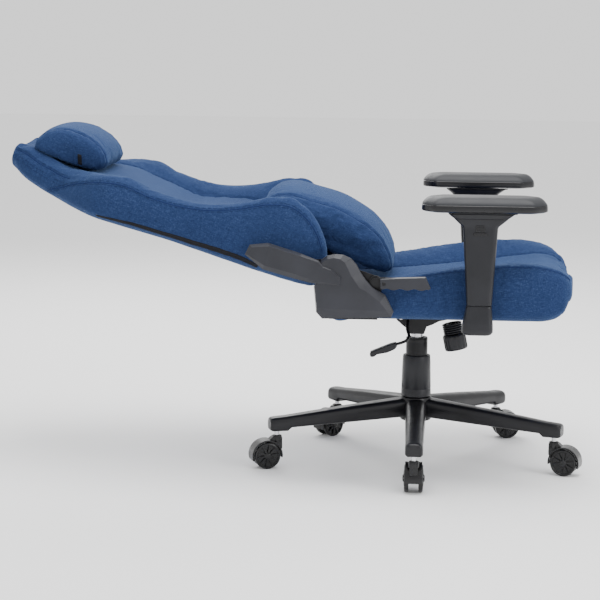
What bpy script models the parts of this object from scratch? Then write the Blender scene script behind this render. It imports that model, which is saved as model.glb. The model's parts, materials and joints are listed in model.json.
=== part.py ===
"""A reclining gaming chair, drawn in metres with +Z up and its front towards +X.

The origin is on the floor under the middle of the chair. Most pieces are drawn in chair coordinates,
whose vertical axis is the gas lift. The casters, the base legs and the backrest are drawn in frames of
their own, and a holder (an empty) on the joint axis then puts them in place.
"""

import math

import bmesh
import bpy
from mathutils import Matrix, Vector

# Driving dimensions
GAP = 0.0004
COLUMN_X = 0.285
SIDES = (("left", 1), ("right", -1))

LEG_COUNT = 5
FIRST_LEG_ANGLE = math.radians(-90)
STEM_CIRCLE = 0.330
HUB_RADIUS = 0.036
HUB_BOTTOM = 0.098
HUB_TOP = 0.152

WHEEL_RADIUS = 0.030
WHEEL_FACETS = 20
CASTER_TRAIL = 0.026
CASTER_TURNS = (90, -17, 12, -135, -160)
STEM_RADIUS = 0.0055

TUBE_OUTER = 0.025
TUBE_TOP = 0.290
TUBE_INNER = 0.014
ROD_RADIUS = 0.005

HOUSING_HALF_WIDTH = 0.045
TILT_PIN = Vector((-0.037, 0.0, 0.3425))
KNOB_CENTRE = Vector((0.088, 0.0, 0.281))
KNOB_LEAN = math.radians(-12)
LEVER_PIVOT = Vector((-0.021, -0.047, 0.338))

SEAT_BOTTOM = 0.369
SEAT_HALF_WIDTH = 0.260
BOARD_LOW = 0.3705
BOARD_HIGH = 0.3825
BOARD_HALF_WIDTH = 0.235

RECLINE_PIVOT = Vector((-0.178, 0.0, 0.474))
RECLINE_FROM_VERTICAL = math.radians(72)
PLATE_INNER = 0.2665
PLATE_THICK = 0.006
COVER_INNER = 0.2805
COVER_OUTER = 0.3000
COVER_WALL = 0.0035
BACK_COVER_OUTER = 0.3040
STUD_RADIUS = 0.004
STUD_PLACES = (-0.165, -0.100)
RECLINE_LEVER_PIVOT = Vector((-0.090, -0.278, 0.455))

FRAME_TUBE = 0.011
FRAME_HALF_WIDTH = 0.205
FRAME_TOP = 0.560
FRAME_DEPTH = -0.030

ARM_X = 0.130
PAD_X = 0.140
ARM_Y = 0.2925
PAD_Y = 0.290
POST = (0.034, 0.012)
POST_TOP = 0.545
SLEEVE_LOW = 0.4105
SLEEVE_HIGH = 0.6080
PAD_LOW = 0.6120
PAD_HIGH = 0.6450


# Scene and helpers


def clear_scene():
    for obj in list(bpy.data.objects):
        bpy.data.objects.remove(obj, do_unlink=True)


def new_collection(name):
    collection = bpy.data.collections.new(name)
    bpy.context.scene.collection.children.link(collection)
    return collection


clear_scene()
PARTS = new_collection("gaming_chair")
CUTTERS = new_collection("cutters")


def new_material(name, colour, roughness, metallic=0.0):
    material = bpy.data.materials.new(name)
    material.use_nodes = True
    shader = material.node_tree.nodes["Principled BSDF"]
    shader.inputs["Base Color"].default_value = (*colour, 1.0)
    shader.inputs["Roughness"].default_value = roughness
    shader.inputs["Metallic"].default_value = metallic
    material.diffuse_color = (*colour, 1.0)
    return material


MATERIALS = {
    "blue_fabric": new_material("blue_fabric", (0.065, 0.125, 0.290), 0.9),
    "cover_plastic": new_material("cover_plastic", (0.050, 0.050, 0.060), 0.5),
    "arm_plastic": new_material("arm_plastic", (0.030, 0.030, 0.034), 0.4),
    "pad_rubber": new_material("pad_rubber", (0.040, 0.045, 0.048), 0.7),
    "base_nylon": new_material("base_nylon", (0.012, 0.012, 0.014), 0.25),
    "caster_nylon": new_material("caster_nylon", (0.012, 0.012, 0.014), 0.35),
    "black_steel": new_material("black_steel", (0.020, 0.020, 0.022), 0.4, 0.3),
    "bright_steel": new_material("bright_steel", (0.600, 0.600, 0.620), 0.25, 1.0),
    "plywood": new_material("plywood", (0.450, 0.300, 0.170), 0.7),
}


def new_holder(name, location=(0, 0, 0), parent=None, rotation=(0, 0, 0)):
    """An empty on a joint axis, or in the middle of a frame, that carries pieces."""
    holder = bpy.data.objects.new(name, None)
    PARTS.objects.link(holder)
    holder.location = location
    holder.rotation_euler = rotation
    holder.parent = parent
    return holder


def new_piece(name, mesh, material):
    """A piece, or with no material a cutter, which stays out of the model."""
    obj = bpy.data.objects.new(name, mesh)
    if material is None:
        CUTTERS.objects.link(obj)
        obj.hide_render = True
        obj.display_type = "WIRE"
        return obj
    mesh.materials.append(MATERIALS[material])
    PARTS.objects.link(obj)
    return obj


def carry(holder, *pieces):
    """Parents pieces drawn in the holder's own frame."""
    for piece in pieces:
        piece.parent = holder


def carry_in_place(holder, *pieces):
    """Parents pieces drawn in chair coordinates, and leaves them where they are drawn."""
    bpy.context.view_layer.update()
    back_to_chair = holder.matrix_world.inverted() @ CHAIR.matrix_world
    for piece in pieces:
        piece.parent = holder
        piece.matrix_parent_inverse = back_to_chair


def face_outwards(made):
    bmesh.ops.recalc_face_normals(made, faces=made.faces)
    if made.calc_volume(signed=True) < 0:
        bmesh.ops.reverse_faces(made, faces=made.faces)


def finished_mesh(name, made):
    mesh = bpy.data.meshes.new(name)
    face_outwards(made)
    made.to_mesh(mesh)
    made.free()
    return mesh


def box(name, low, high, material=None, bevel=0.0):
    """A box between two corners, with its edges bevelled."""
    low, high = Vector(low), Vector(high)
    made = bmesh.new()
    bmesh.ops.create_cube(made, size=1.0)
    size = Matrix.Diagonal((*(high - low), 1.0))
    bmesh.ops.transform(made, matrix=Matrix.Translation((low + high) / 2) @ size, verts=made.verts)
    obj = new_piece(name, finished_mesh(name, made), material)
    if bevel:
        soften(obj, bevel)
    return obj


def cylinder(name, start, end, radius, material=None, sides=16):
    """A cylinder from one point to another."""
    start, end = Vector(start), Vector(end)
    axis = end - start
    made = bmesh.new()
    bmesh.ops.create_cone(
        made, cap_ends=True, segments=sides, radius1=radius, radius2=radius, depth=axis.length
    )
    turn = Vector((0, 0, 1)).rotation_difference(axis).to_matrix().to_4x4()
    half_step = Matrix.Rotation(math.pi / sides, 4, "Z")
    place = Matrix.Translation((start + end) / 2) @ turn @ half_step
    bmesh.ops.transform(made, matrix=place, verts=made.verts)
    return new_piece(name, finished_mesh(name, made), material)


def turned(name, profile, material, steps=24, closed=False):
    """A profile of (radius, height) points, from the top down the outer side, turned about Z."""
    made = bmesh.new()
    points = [made.verts.new((radius, 0, height)) for radius, height in profile]
    for first, second in zip(points, points[1:]):
        made.edges.new((first, second))
    if closed:
        made.edges.new((points[-1], points[0]))
    mesh = bpy.data.meshes.new(name)
    made.to_mesh(mesh)
    made.free()
    obj = new_piece(name, mesh, material)
    screw = obj.modifiers.new("turn", "SCREW")
    screw.steps = steps
    screw.render_steps = steps
    screw.use_merge_vertices = True
    screw.merge_threshold = 0.00005
    screw.use_smooth_shade = True
    return obj


def curve_to_mesh(curve_object):
    """The mesh of a curve object, with its caps welded; the curve is removed."""
    bpy.context.view_layer.update()
    graph = bpy.context.evaluated_depsgraph_get()
    mesh = bpy.data.meshes.new_from_object(curve_object.evaluated_get(graph))
    made = bmesh.new()
    made.from_mesh(mesh)
    bmesh.ops.remove_doubles(made, verts=made.verts, dist=0.00001)
    made.transform(curve_object.matrix_world)
    face_outwards(made)
    made.to_mesh(mesh)
    made.free()
    mesh.materials.clear()
    bpy.data.objects.remove(curve_object, do_unlink=True)
    return mesh


def plate(name, outline, y_low, y_high, material=None, bevel=0.0):
    """A flat outline of (x, z) points, extruded from y_low to y_high."""
    curve = bpy.data.curves.new(name, "CURVE")
    curve.dimensions = "2D"
    curve.fill_mode = "BOTH"
    curve.extrude = abs(y_high - y_low) / 2
    spline = curve.splines.new("POLY")
    spline.points.add(len(outline) - 1)
    for point, (x, z) in zip(spline.points, outline):
        point.co = (x, z, 0, 1)
    spline.use_cyclic_u = True
    drawn = bpy.data.objects.new(name + "_outline", curve)
    CUTTERS.objects.link(drawn)
    drawn.rotation_euler = (math.pi / 2, 0, 0)
    drawn.location = (0, (y_low + y_high) / 2, 0)
    obj = new_piece(name, curve_to_mesh(drawn), material)
    if bevel:
        soften(obj, bevel)
    return obj


def tube(name, route, radius, material=None, roundness=1):
    """A round bar along a list of points."""
    curve = bpy.data.curves.new(name, "CURVE")
    curve.dimensions = "3D"
    curve.bevel_depth = radius
    curve.bevel_resolution = roundness
    curve.use_fill_caps = True
    spline = curve.splines.new("POLY")
    spline.points.add(len(route) - 1)
    for point, place in zip(spline.points, route):
        point.co = (*place, 1)
    drawn = bpy.data.objects.new(name + "_route", curve)
    CUTTERS.objects.link(drawn)
    return new_piece(name, curve_to_mesh(drawn), material)


def loft(name, rings, material=None):
    """A closed skin over rings of points, with a flat face on the first and the last ring."""
    made = bmesh.new()
    rows = [[made.verts.new(point) for point in ring] for ring in rings]
    for row, following in zip(rows, rows[1:]):
        for index in range(len(row)):
            after = (index + 1) % len(row)
            made.faces.new((row[index], row[after], following[after], following[index]))
    made.faces.new(rows[0][::-1])
    made.faces.new(rows[-1])
    bmesh.ops.triangulate(made, faces=made.faces)
    return new_piece(name, finished_mesh(name, made), material)


def soften(obj, width, segments=1):
    bevel = obj.modifiers.new("edges", "BEVEL")
    bevel.width = width
    bevel.segments = segments
    bevel.limit_method = "ANGLE"
    bevel.angle_limit = math.radians(40)


def combine(obj, operation, *others, solver="EXACT"):
    """Cuts other solids from a piece, or joins them to it."""
    for other in others:
        boolean = obj.modifiers.new(operation.lower(), "BOOLEAN")
        boolean.operation = operation
        boolean.solver = solver
        boolean.object = other


def mirrored(points):
    """A half ring of (across, up) points from the bottom middle to the top middle, and its mirror image."""
    return points + [(-across, up) for across, up in points[-2:0:-1]]


def arc(centre, radius, start, end, count):
    """Points on an arc of a circle, with its angles in degrees from the first axis."""
    angles = [math.radians(start + (end - start) * step / count) for step in range(count + 1)]
    return [(centre[0] + radius * math.cos(a), centre[1] + radius * math.sin(a)) for a in angles]


def cut_corners(low_x, high_x, low_y, high_y, corner):
    """A rectangle with its corners cut off, as eight (x, y) points."""
    return [
        (low_x + corner, low_y),
        (high_x - corner, low_y),
        (high_x, low_y + corner),
        (high_x, high_y - corner),
        (high_x - corner, high_y),
        (low_x + corner, high_y),
        (low_x, high_y - corner),
        (low_x, low_y + corner),
    ]


CHAIR = new_holder("chair_middle", (COLUMN_X, 0, 0))


# Base star, casters and gas lift


def leg_angle(index):
    return FIRST_LEG_ANGLE + index * math.tau / LEG_COUNT


def leg_ring(x, half_width, low, high):
    """A section across a leg: flat below, rounded above."""
    shoulder = 0.35 * (high - low)
    half = [(0, low), (half_width - 0.003, low), (half_width, low + 0.004)]
    half += [(half_width, high - shoulder), (0.80 * half_width, high - 0.25 * shoulder)]
    half += [(0.45 * half_width, high), (0, high)]
    return [(x, y, z) for y, z in mirrored(half)]


def base_leg(index):
    rings = [
        leg_ring(0.012, 0.024, 0.110, 0.150),
        leg_ring(0.300, 0.0195, 0.0930, 0.1195),
        leg_ring(0.307, 0.0195, 0.0850, 0.1190),
        leg_ring(0.3490, 0.0190, 0.0850, 0.1155),
        leg_ring(0.3565, 0.0150, 0.0880, 0.1120),
    ]
    leg = loft(f"leg_{index + 1}", rings)
    leg.parent = CHAIR
    leg.rotation_euler = (0, 0, leg_angle(index))
    return leg


def make_base():
    star = cylinder("base_star", (0, 0, HUB_BOTTOM), (0, 0, HUB_TOP), HUB_RADIUS, "base_nylon", 24)
    star.parent = CHAIR
    combine(star, "UNION", *[base_leg(index) for index in range(LEG_COUNT)], solver="MANIFOLD")
    bore = cylinder("hub_bore", (0, 0, 0.08), (0, 0, 0.18), TUBE_OUTER + 0.0008, None, 24)
    bore.parent = CHAIR
    combine(star, "DIFFERENCE", bore, solver="MANIFOLD")
    for index in range(LEG_COUNT):
        angle = leg_angle(index)
        x = STEM_CIRCLE * math.cos(angle)
        y = STEM_CIRCLE * math.sin(angle)
        low, high = (x, y, 0.08), (x, y, 0.107)
        socket = cylinder(f"stem_socket_{index + 1}", low, high, STEM_RADIUS + 0.0007, None, 12)
        socket.parent = CHAIR
        combine(star, "DIFFERENCE", socket, solver="MANIFOLD")


def caster_hood(name):
    """The moulded body between the wheels, its fender over them on the stem's side, and the axle."""
    axle = (CASTER_TRAIL, WHEEL_RADIUS)
    web = [(-0.0105, 0.0445), (-0.0105, 0.0720), (0.0105, 0.0720), (0.0300, 0.0560), (0.0340, 0.0300)]
    web += [(0.0300, 0.0200), (0.0200, 0.0200), (0.0120, 0.0300)]
    body = plate(name, web, -0.0090, 0.0090, "caster_nylon")
    fender = arc(axle, 0.0360, 60, 186, 7) + arc(axle, 0.0322, 186, 60, 7)
    shade = plate(name + "_fender", fender, -0.0185, 0.0185)
    collar = cylinder(name + "_collar", (0, 0, 0.058), (0, 0, 0.0745), 0.0115, None, 12)
    axle_ends = [(axle[0], across, axle[1]) for across in (-0.0215, 0.0215)]
    pin = cylinder(name + "_axle", *axle_ends, 0.0040, None, 10)
    hole = cylinder(name + "_stem_hole", (0, 0, 0.052), (0, 0, 0.090), STEM_RADIUS + 0.0007, None, 12)
    combine(body, "UNION", shade, collar, pin)
    combine(body, "DIFFERENCE", hole)
    return body, (shade, collar, pin, hole)


def caster_wheel(name, side):
    """A wheel disc with a blind bore for the axle, standing on one of its facets."""
    rim = WHEEL_RADIUS / math.cos(math.pi / WHEEL_FACETS)
    profile = [
        (0, 0.0245),
        (0.0090, 0.0245),
        (0.0120, 0.0205),
        (rim - 0.0020, 0.0205),
        (rim, 0.0180),
        (rim, 0.0125),
        (rim - 0.0020, 0.0105),
        (0.0047, 0.0105),
        (0.0047, 0.0222),
        (0, 0.0222),
    ]
    wheel = turned(name, profile, "caster_nylon", WHEEL_FACETS)
    half_step = math.pi / WHEEL_FACETS
    wheel.rotation_euler = Matrix.Rotation(-side * math.pi / 2, 3, "X").to_euler()
    wheel.rotation_euler.rotate_axis("Z", half_step)
    return wheel


def make_caster(index):
    angle = leg_angle(index)
    x = STEM_CIRCLE * math.cos(angle)
    y = STEM_CIRCLE * math.sin(angle)
    turn = math.radians(CASTER_TURNS[index])
    stem_holder = new_holder(f"caster_{index + 1}_swivel", (x, y, 0), CHAIR, (0, 0, turn))
    hood, helpers = caster_hood(f"caster_{index + 1}_hood")
    low, high = (0, 0, 0.0525), (0, 0, 0.1060)
    stem = cylinder(f"caster_{index + 1}_stem", low, high, STEM_RADIUS, "bright_steel", 12)
    carry(stem_holder, hood, stem, *helpers)
    axle_place = (CASTER_TRAIL, 0, WHEEL_RADIUS)
    axle_holder = new_holder(f"caster_{index + 1}_axle_line", axle_place, stem_holder)
    for side_name, side in SIDES:
        carry(axle_holder, caster_wheel(f"caster_{index + 1}_wheel_{side_name}", side))


def make_gas_lift():
    """The outer tube in the hub, the rod that turns in it, and the inner tube that slides on the rod."""
    outer = [
        (0, 0.1150),
        (TUBE_INNER + 0.0006, 0.1150),
        (TUBE_INNER + 0.0006, TUBE_TOP),
        (TUBE_OUTER - 0.0015, TUBE_TOP),
        (TUBE_OUTER, TUBE_TOP - 0.0015),
        (TUBE_OUTER, 0.0995),
        (0, 0.0995),
    ]
    rod = [(0, 0.3000), (ROD_RADIUS, 0.3000), (ROD_RADIUS, 0.1250)]
    rod += [(0.0135, 0.1250), (0.0135, 0.1155), (0, 0.1155)]
    inner = [
        (0, 0.3460),
        (0.0125, 0.3460),
        (TUBE_INNER, 0.3440),
        (TUBE_INNER, 0.1350),
        (ROD_RADIUS + 0.0006, 0.1350),
        (ROD_RADIUS + 0.0006, 0.3380),
        (0, 0.3380),
    ]
    cover = [
        (0.0258, 0.2490),
        (0.0305, 0.2490),
        (0.0315, 0.2470),
        (0.0345, 0.1525),
        (0.0318, 0.1525),
        (0.0290, 0.2460),
        (0.0258, 0.2460),
    ]
    carry(CHAIR, turned("gas_outer_tube", outer, "black_steel", 24))
    carry(CHAIR, turned("column_cover", cover, "arm_plastic", 24, closed=True))
    carry(CHAIR, turned("gas_piston_rod", rod, "bright_steel", 12))
    lift_holder = new_holder("lift_line", (0, 0, TUBE_TOP), CHAIR)
    carry_in_place(lift_holder, turned("gas_inner_tube", inner, "bright_steel", 24))
    return lift_holder


# Mechanism under the seat


def housing_outline():
    lower = [(-0.046, 0.352), (-0.046, 0.336), (-0.035, 0.325), (-0.018, 0.312), (-0.018, 0.304)]
    lower += [(0.016, 0.304), (0.022, 0.321), (0.034, 0.3255), (0.050, 0.3340), (0.118, 0.3490)]
    return lower + [(0.116, 0.3530), (0.000, 0.3540), (-0.030, 0.3535)]


def make_mechanism(lift_holder):
    """The housing on top of the lift, and the pin that the seat tilts on. It returns the pin's hole."""
    half = HOUSING_HALF_WIDTH
    housing = plate("mechanism_housing", housing_outline(), -half, half, "black_steel")
    bore = cylinder("piston_bore", (0, 0, 0.29), (0, 0, 0.3465), TUBE_INNER + 0.0006, None, 24)
    pin_end = Vector((0, 0.0540, 0))
    hole_end = Vector((0, 0.0640, 0))
    pin_hole = cylinder("tilt_pin_hole", TILT_PIN - hole_end, TILT_PIN + hole_end, 0.0056)
    combine(housing, "DIFFERENCE", bore, pin_hole)
    pin = cylinder("tilt_pin", TILT_PIN - pin_end, TILT_PIN + pin_end, 0.0050, "bright_steel")
    carry_in_place(lift_holder, housing, pin, bore, pin_hole)
    return pin_hole


def make_tension_knob(lift_holder):
    """The fluted knob, the ribbed boot above it and the spring in the boot, all on one leaning axis."""
    knob_holder = new_holder("knob_line", KNOB_CENTRE, lift_holder, (0, KNOB_LEAN, 0))
    carry_in_place(lift_holder, knob_holder)
    knob_profile = [
        (0, 0.0185),
        (0.0235, 0.0185),
        (0.0265, 0.0150),
        (0.0268, -0.0160),
        (0.0245, -0.0185),
        (0, -0.0185),
    ]
    knob = turned("tension_knob", knob_profile, "arm_plastic", 20)
    outer = []
    for rib in range(3):
        top = 0.0445 - rib * 0.0084
        outer += [(0.0200, top), (0.0232, top - 0.0042)]
    boot_profile = outer + [(0.0200, 0.0192), (0.0180, 0.0192), (0.0180, 0.0445)]
    boot = turned("spring_boot", boot_profile, "arm_plastic", 20, closed=True)
    turns = 3.5
    steps = 28
    route = []
    for step in range(steps + 1):
        angle = math.tau * turns * step / steps
        height = 0.0225 + 0.0190 * step / steps
        route.append((0.0125 * math.cos(angle), 0.0125 * math.sin(angle), height))
    spring = tube("tension_spring", route, 0.0018, "bright_steel", 0)
    carry(knob_holder, knob, boot, spring)


def make_height_lever(lift_holder):
    """The wire that comes out of the housing's side and ends in a flat grip."""
    lever_holder = new_holder("height_lever_line", LEVER_PIVOT, lift_holder)
    carry_in_place(lift_holder, lever_holder)
    route = [
        LEVER_PIVOT,
        (-0.0210, -0.060, 0.3370),
        (-0.0220, -0.085, 0.3220),
        (-0.0180, -0.108, 0.3060),
        (-0.0230, -0.118, 0.3010),
        (-0.0405, -0.121, 0.2955),
    ]
    wire = tube("height_lever_rod", route, 0.0035, "black_steel")
    outline = [(-0.1010, 0.2645), (-0.1020, 0.2740), (-0.0560, 0.2955)]
    outline += [(-0.0440, 0.2980), (-0.0420, 0.2900), (-0.0700, 0.2790)]
    grip = plate("height_lever_grip", outline, -0.1350, -0.1110, "arm_plastic", 0.0015)
    carry_in_place(lever_holder, wire, grip)


def make_seat_plate(seat_holder, pin_hole):
    """The steel plate under the seat, with two ears round the tilt pin."""
    seat_plate = box("seat_plate", (-0.100, -0.090, 0.3590), (0.130, 0.090, 0.3680), "black_steel")
    inner = HOUSING_HALF_WIDTH + 0.0012
    ears = []
    for side_name, side in SIDES:
        outline = [(-0.0470, 0.3620), (-0.0470, 0.3370), (-0.0420, 0.3320), (-0.0320, 0.3320)]
        outline += [(-0.0275, 0.3370), (-0.0275, 0.3620)]
        low, high = sorted((side * inner, side * (inner + 0.0040)))
        ears.append(plate(f"pin_ear_{side_name}", outline, low, high))
    combine(seat_plate, "UNION", *ears)
    combine(seat_plate, "DIFFERENCE", pin_hole)
    carry_in_place(seat_holder, seat_plate, *ears)


# Seat


def seat_ring(x, low, half_width, seam, bolster, inner, middle):
    """A section across the seat, from the underside round the side to the middle of the top."""
    half = [(0, low), (0.150, low), (half_width - 0.022, low), (half_width - 0.004, low + 0.010)]
    half += [(half_width, (low + seam) / 2), (half_width - 0.003, seam - 0.012), (half_width - 0.016, seam)]
    half += [(half_width - 0.045, bolster), (0.185, (bolster + inner) / 2 + 0.004), (0.150, inner)]
    half += [(0.080, middle + 0.001), (0, middle)]
    return [(x, y, z) for y, z in mirrored(half)]


def make_seat(seat_holder):
    rings = [
        seat_ring(-0.2000, 0.3750, 0.238, 0.4200, 0.4250, 0.4080, 0.4060),
        seat_ring(-0.1900, SEAT_BOTTOM, 0.250, 0.4330, 0.4380, 0.4180, 0.4160),
        seat_ring(-0.1300, SEAT_BOTTOM, 0.258, 0.4460, 0.4500, 0.4230, 0.4220),
        seat_ring(-0.0500, SEAT_BOTTOM, SEAT_HALF_WIDTH, 0.4570, 0.4590, 0.4300, 0.4290),
        seat_ring(0.1000, SEAT_BOTTOM, SEAT_HALF_WIDTH, 0.4810, 0.4820, 0.4460, 0.4450),
        seat_ring(0.2350, SEAT_BOTTOM, SEAT_HALF_WIDTH, 0.4930, 0.4920, 0.4640, 0.4600),
        seat_ring(0.2900, 0.3710, 0.257, 0.4880, 0.4860, 0.4700, 0.4660),
        seat_ring(0.3100, 0.3820, 0.253, 0.4780, 0.4770, 0.4690, 0.4660),
        seat_ring(0.3260, 0.4100, 0.246, 0.4650, 0.4670, 0.4650, 0.4620),
        seat_ring(0.3370, 0.4350, 0.236, 0.4520, 0.4550, 0.4550, 0.4540),
    ]
    cushion = loft("seat_cushion", rings, "blue_fabric")
    low = Vector((-0.186, -BOARD_HALF_WIDTH, BOARD_LOW))
    high = Vector((0.286, BOARD_HALF_WIDTH, BOARD_HIGH))
    clear = Vector((GAP, GAP, GAP))
    board_outline = cut_corners(low.x, high.x, low.y, high.y, 0.030)
    board_rings = [[(x, y, z) for x, y in board_outline] for z in (low.z, high.z)]
    board = loft("seat_board", board_rings, "plywood")
    low, high = low - clear, high + clear
    recess_outline = cut_corners(low.x, high.x, low.y, high.y, 0.030)
    recess = loft("board_recess", [[(x, y, z) for x, y in recess_outline] for z in (0.360, high.z)])
    combine(cushion, "DIFFERENCE", recess, solver="MANIFOLD")
    holes = []
    for _, side in SIDES:
        holes += [stud("seat_stud_hole", side, x, STUD_RADIUS + 0.0006, 0.010) for x in STUD_PLACES]
    combine(cushion, "DIFFERENCE", *holes, solver="MANIFOLD")
    carry_in_place(seat_holder, cushion, board, recess, *holes)


def stud(name, side, x, radius, deeper=0.0):
    """A bolt from a side plate through the cushion's side to the edge of the seat board."""
    height = (BOARD_LOW + BOARD_HIGH) / 2
    start = (x, side * (BOARD_HALF_WIDTH + GAP - deeper), height)
    return cylinder(name, start, (x, side * (PLATE_INNER + 0.002), height), radius, None, 8)


# Recliner hinge


def seat_cover_outline():
    px, pz = RECLINE_PIVOT.xz
    outline = arc((px, pz - 0.002), 0.0420, 165, 35, 7)
    outline += [(-0.1230, 0.4820), (-0.1080, 0.4580), (-0.0850, 0.4310), (-0.0690, 0.4280)]
    outline += [(-0.0510, 0.3960), (-0.0530, 0.3790), (-0.1970, 0.3730), (-0.2190, 0.3900)]
    return outline + [(-0.2230, 0.4440)]


def back_cover_outline():
    """The outline of the cover on the backrest, in the backrest's frame, as (forward, up) points."""
    front = [(-0.0280, 0.1960), (-0.0020, 0.1930), (0.0140, 0.1550), (0.0155, 0.0560)]
    return front + [(-0.0400, 0.0560), (-0.0430, 0.1500)]


def tongue_outline():
    tip = [(0.0155, 0.0900), (0.0160, 0.0400), (0.0080, 0.0260), (-0.0090, -0.0230), (-0.0220, -0.0200)]
    return tip + [(-0.0370, 0.0385), (-0.0395, 0.0900)]


def shell(name, outline, side, outer, chamfer):
    """A hinge cover, an open tray: a flat outline at its outer face, and walls that run inwards."""
    middle = outer - COVER_WALL / 2
    made = bmesh.new()
    face = made.faces.new([made.verts.new((x, side * middle, z)) for x, z in outline])
    walls = bmesh.ops.extrude_edge_only(made, edges=face.edges)
    moved = [item for item in walls["geom"] if isinstance(item, bmesh.types.BMVert)]
    bmesh.ops.translate(made, verts=moved, vec=Vector((0, side * (COVER_INNER - middle), 0)))
    bmesh.ops.recalc_face_normals(made, faces=made.faces)
    if face.normal.y * side < 0:
        bmesh.ops.reverse_faces(made, faces=made.faces)
    mesh = bpy.data.meshes.new(name)
    made.to_mesh(mesh)
    made.free()
    obj = new_piece(name, mesh, "cover_plastic")
    soften(obj, chamfer)
    thicken = obj.modifiers.new("wall", "SOLIDIFY")
    thicken.thickness = COVER_WALL
    thicken.offset = 0.0
    thicken.use_even_offset = True
    return obj


def lever_boss():
    """The boss on the right-hand side plate that the recline lever turns on."""
    x, _, z = RECLINE_LEVER_PIVOT
    root = (x, 0.003 - PLATE_INNER - PLATE_THICK, z)
    return cylinder("recline_lever_boss", root, (x, -0.2800, z), 0.0130)


def make_recliner(seat_holder, back_holder):
    px, pz = RECLINE_PIVOT.xz
    for side_name, side in SIDES:
        low, high = sorted((side * PLATE_INNER, side * (PLATE_INNER + PLATE_THICK)))
        outline = arc((px, pz), 0.0340, 190, 20, 8)
        outline += [(-0.0760, 0.4620), (-0.0760, 0.4420), (-0.0850, 0.3710), (-0.1900, 0.3710)]
        seat_side = plate(f"recliner_plate_{side_name}", outline, low, high, "black_steel")
        studs = [stud("seat_stud", side, x, STUD_RADIUS) for x in STUD_PLACES]
        rod_hole = cylinder("rod_hole", (px, side * 0.25, pz), (px, side * 0.30, pz), 0.0066, None, 12)
        if side < 0:
            studs.append(lever_boss())
        combine(seat_side, "UNION", *studs)
        combine(seat_side, "DIFFERENCE", rod_hole)
        cover_name = f"hinge_cover_seat_{side_name}"
        cover = shell(cover_name, seat_cover_outline(), side, COVER_OUTER, 0.004)
        carry_in_place(seat_holder, seat_side, cover, rod_hole, *studs)
        cover_name = f"hinge_cover_back_{side_name}"
        back_cover = shell(cover_name, back_cover_outline(), side, BACK_COVER_OUTER, 0.003)
        low, high = sorted((side * (COVER_OUTER + GAP), side * BACK_COVER_OUTER))
        tongue = plate(f"tongue_{side_name}", tongue_outline(), low, high)
        combine(back_cover, "UNION", tongue)
        carry(back_holder, back_cover, tongue)
    rod = cylinder("cross_rod", (px, -0.2815, pz), (px, 0.2815, pz), 0.0060, "black_steel", 12)
    carry_in_place(seat_holder, rod)


def make_recline_lever(seat_holder):
    """The lever on the chair's right-hand side: a steel arm and a moulded grip."""
    x, _, z = RECLINE_LEVER_PIVOT
    lever_holder = new_holder("recline_lever_line", RECLINE_LEVER_PIVOT, seat_holder)
    carry_in_place(seat_holder, lever_holder)
    outline = arc((x, z), 0.0090, 250, 110, 6)
    outline += [(-0.0700, 0.4660), (-0.0100, 0.4640), (-0.0100, 0.4500), (-0.0700, 0.4480)]
    arm = plate("recline_lever_arm", outline, -0.2860, -0.2819, "black_steel")
    edge = [(-0.0660, 0.4440), (-0.0660, 0.4700), (0.0180, 0.4720), (0.0290, 0.4460), (0.0240, 0.4440)]
    edge += [(0.0060, 0.4440), (-0.0040, 0.4460), (-0.0160, 0.4430), (-0.0280, 0.4460), (-0.0400, 0.4430)]
    edge += [(-0.0520, 0.4460)]
    grip = plate("recline_lever_grip", edge, -0.2990, -0.2780, "cover_plastic", 0.0020)
    socket_outline = [(-0.0800, 0.4474), (-0.0800, 0.4666), (-0.0094, 0.4646), (-0.0094, 0.4494)]
    socket = plate("recline_grip_socket", socket_outline, -0.2865, -0.2814)
    combine(grip, "DIFFERENCE", socket, solver="MANIFOLD")
    carry_in_place(lever_holder, arm, grip, socket)


# Backrest, drawn upright: forward is +X, up is +Z and the recline axis passes through its origin


def back_ring(up, half_width, rear, side_front, crest, inner_y, inner, middle):
    """A section across the backrest, from the middle of its rear round the wing to its front."""
    half = [(0, rear), (0.6 * half_width, rear), (half_width - 0.024, rear + 0.002)]
    half += [(half_width - 0.004, rear + 0.014), (half_width, (rear + side_front) / 2 + 0.004)]
    half += [(half_width - 0.002, side_front), (half_width - 0.016, crest)]
    half += [((half_width - 0.016 + inner_y) / 2, (crest + inner) / 2 + 0.004), (inner_y, inner)]
    half += [(inner_y / 2, middle), (0, middle)]
    return [(forward, across, up) for across, forward in mirrored(half)]


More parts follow.
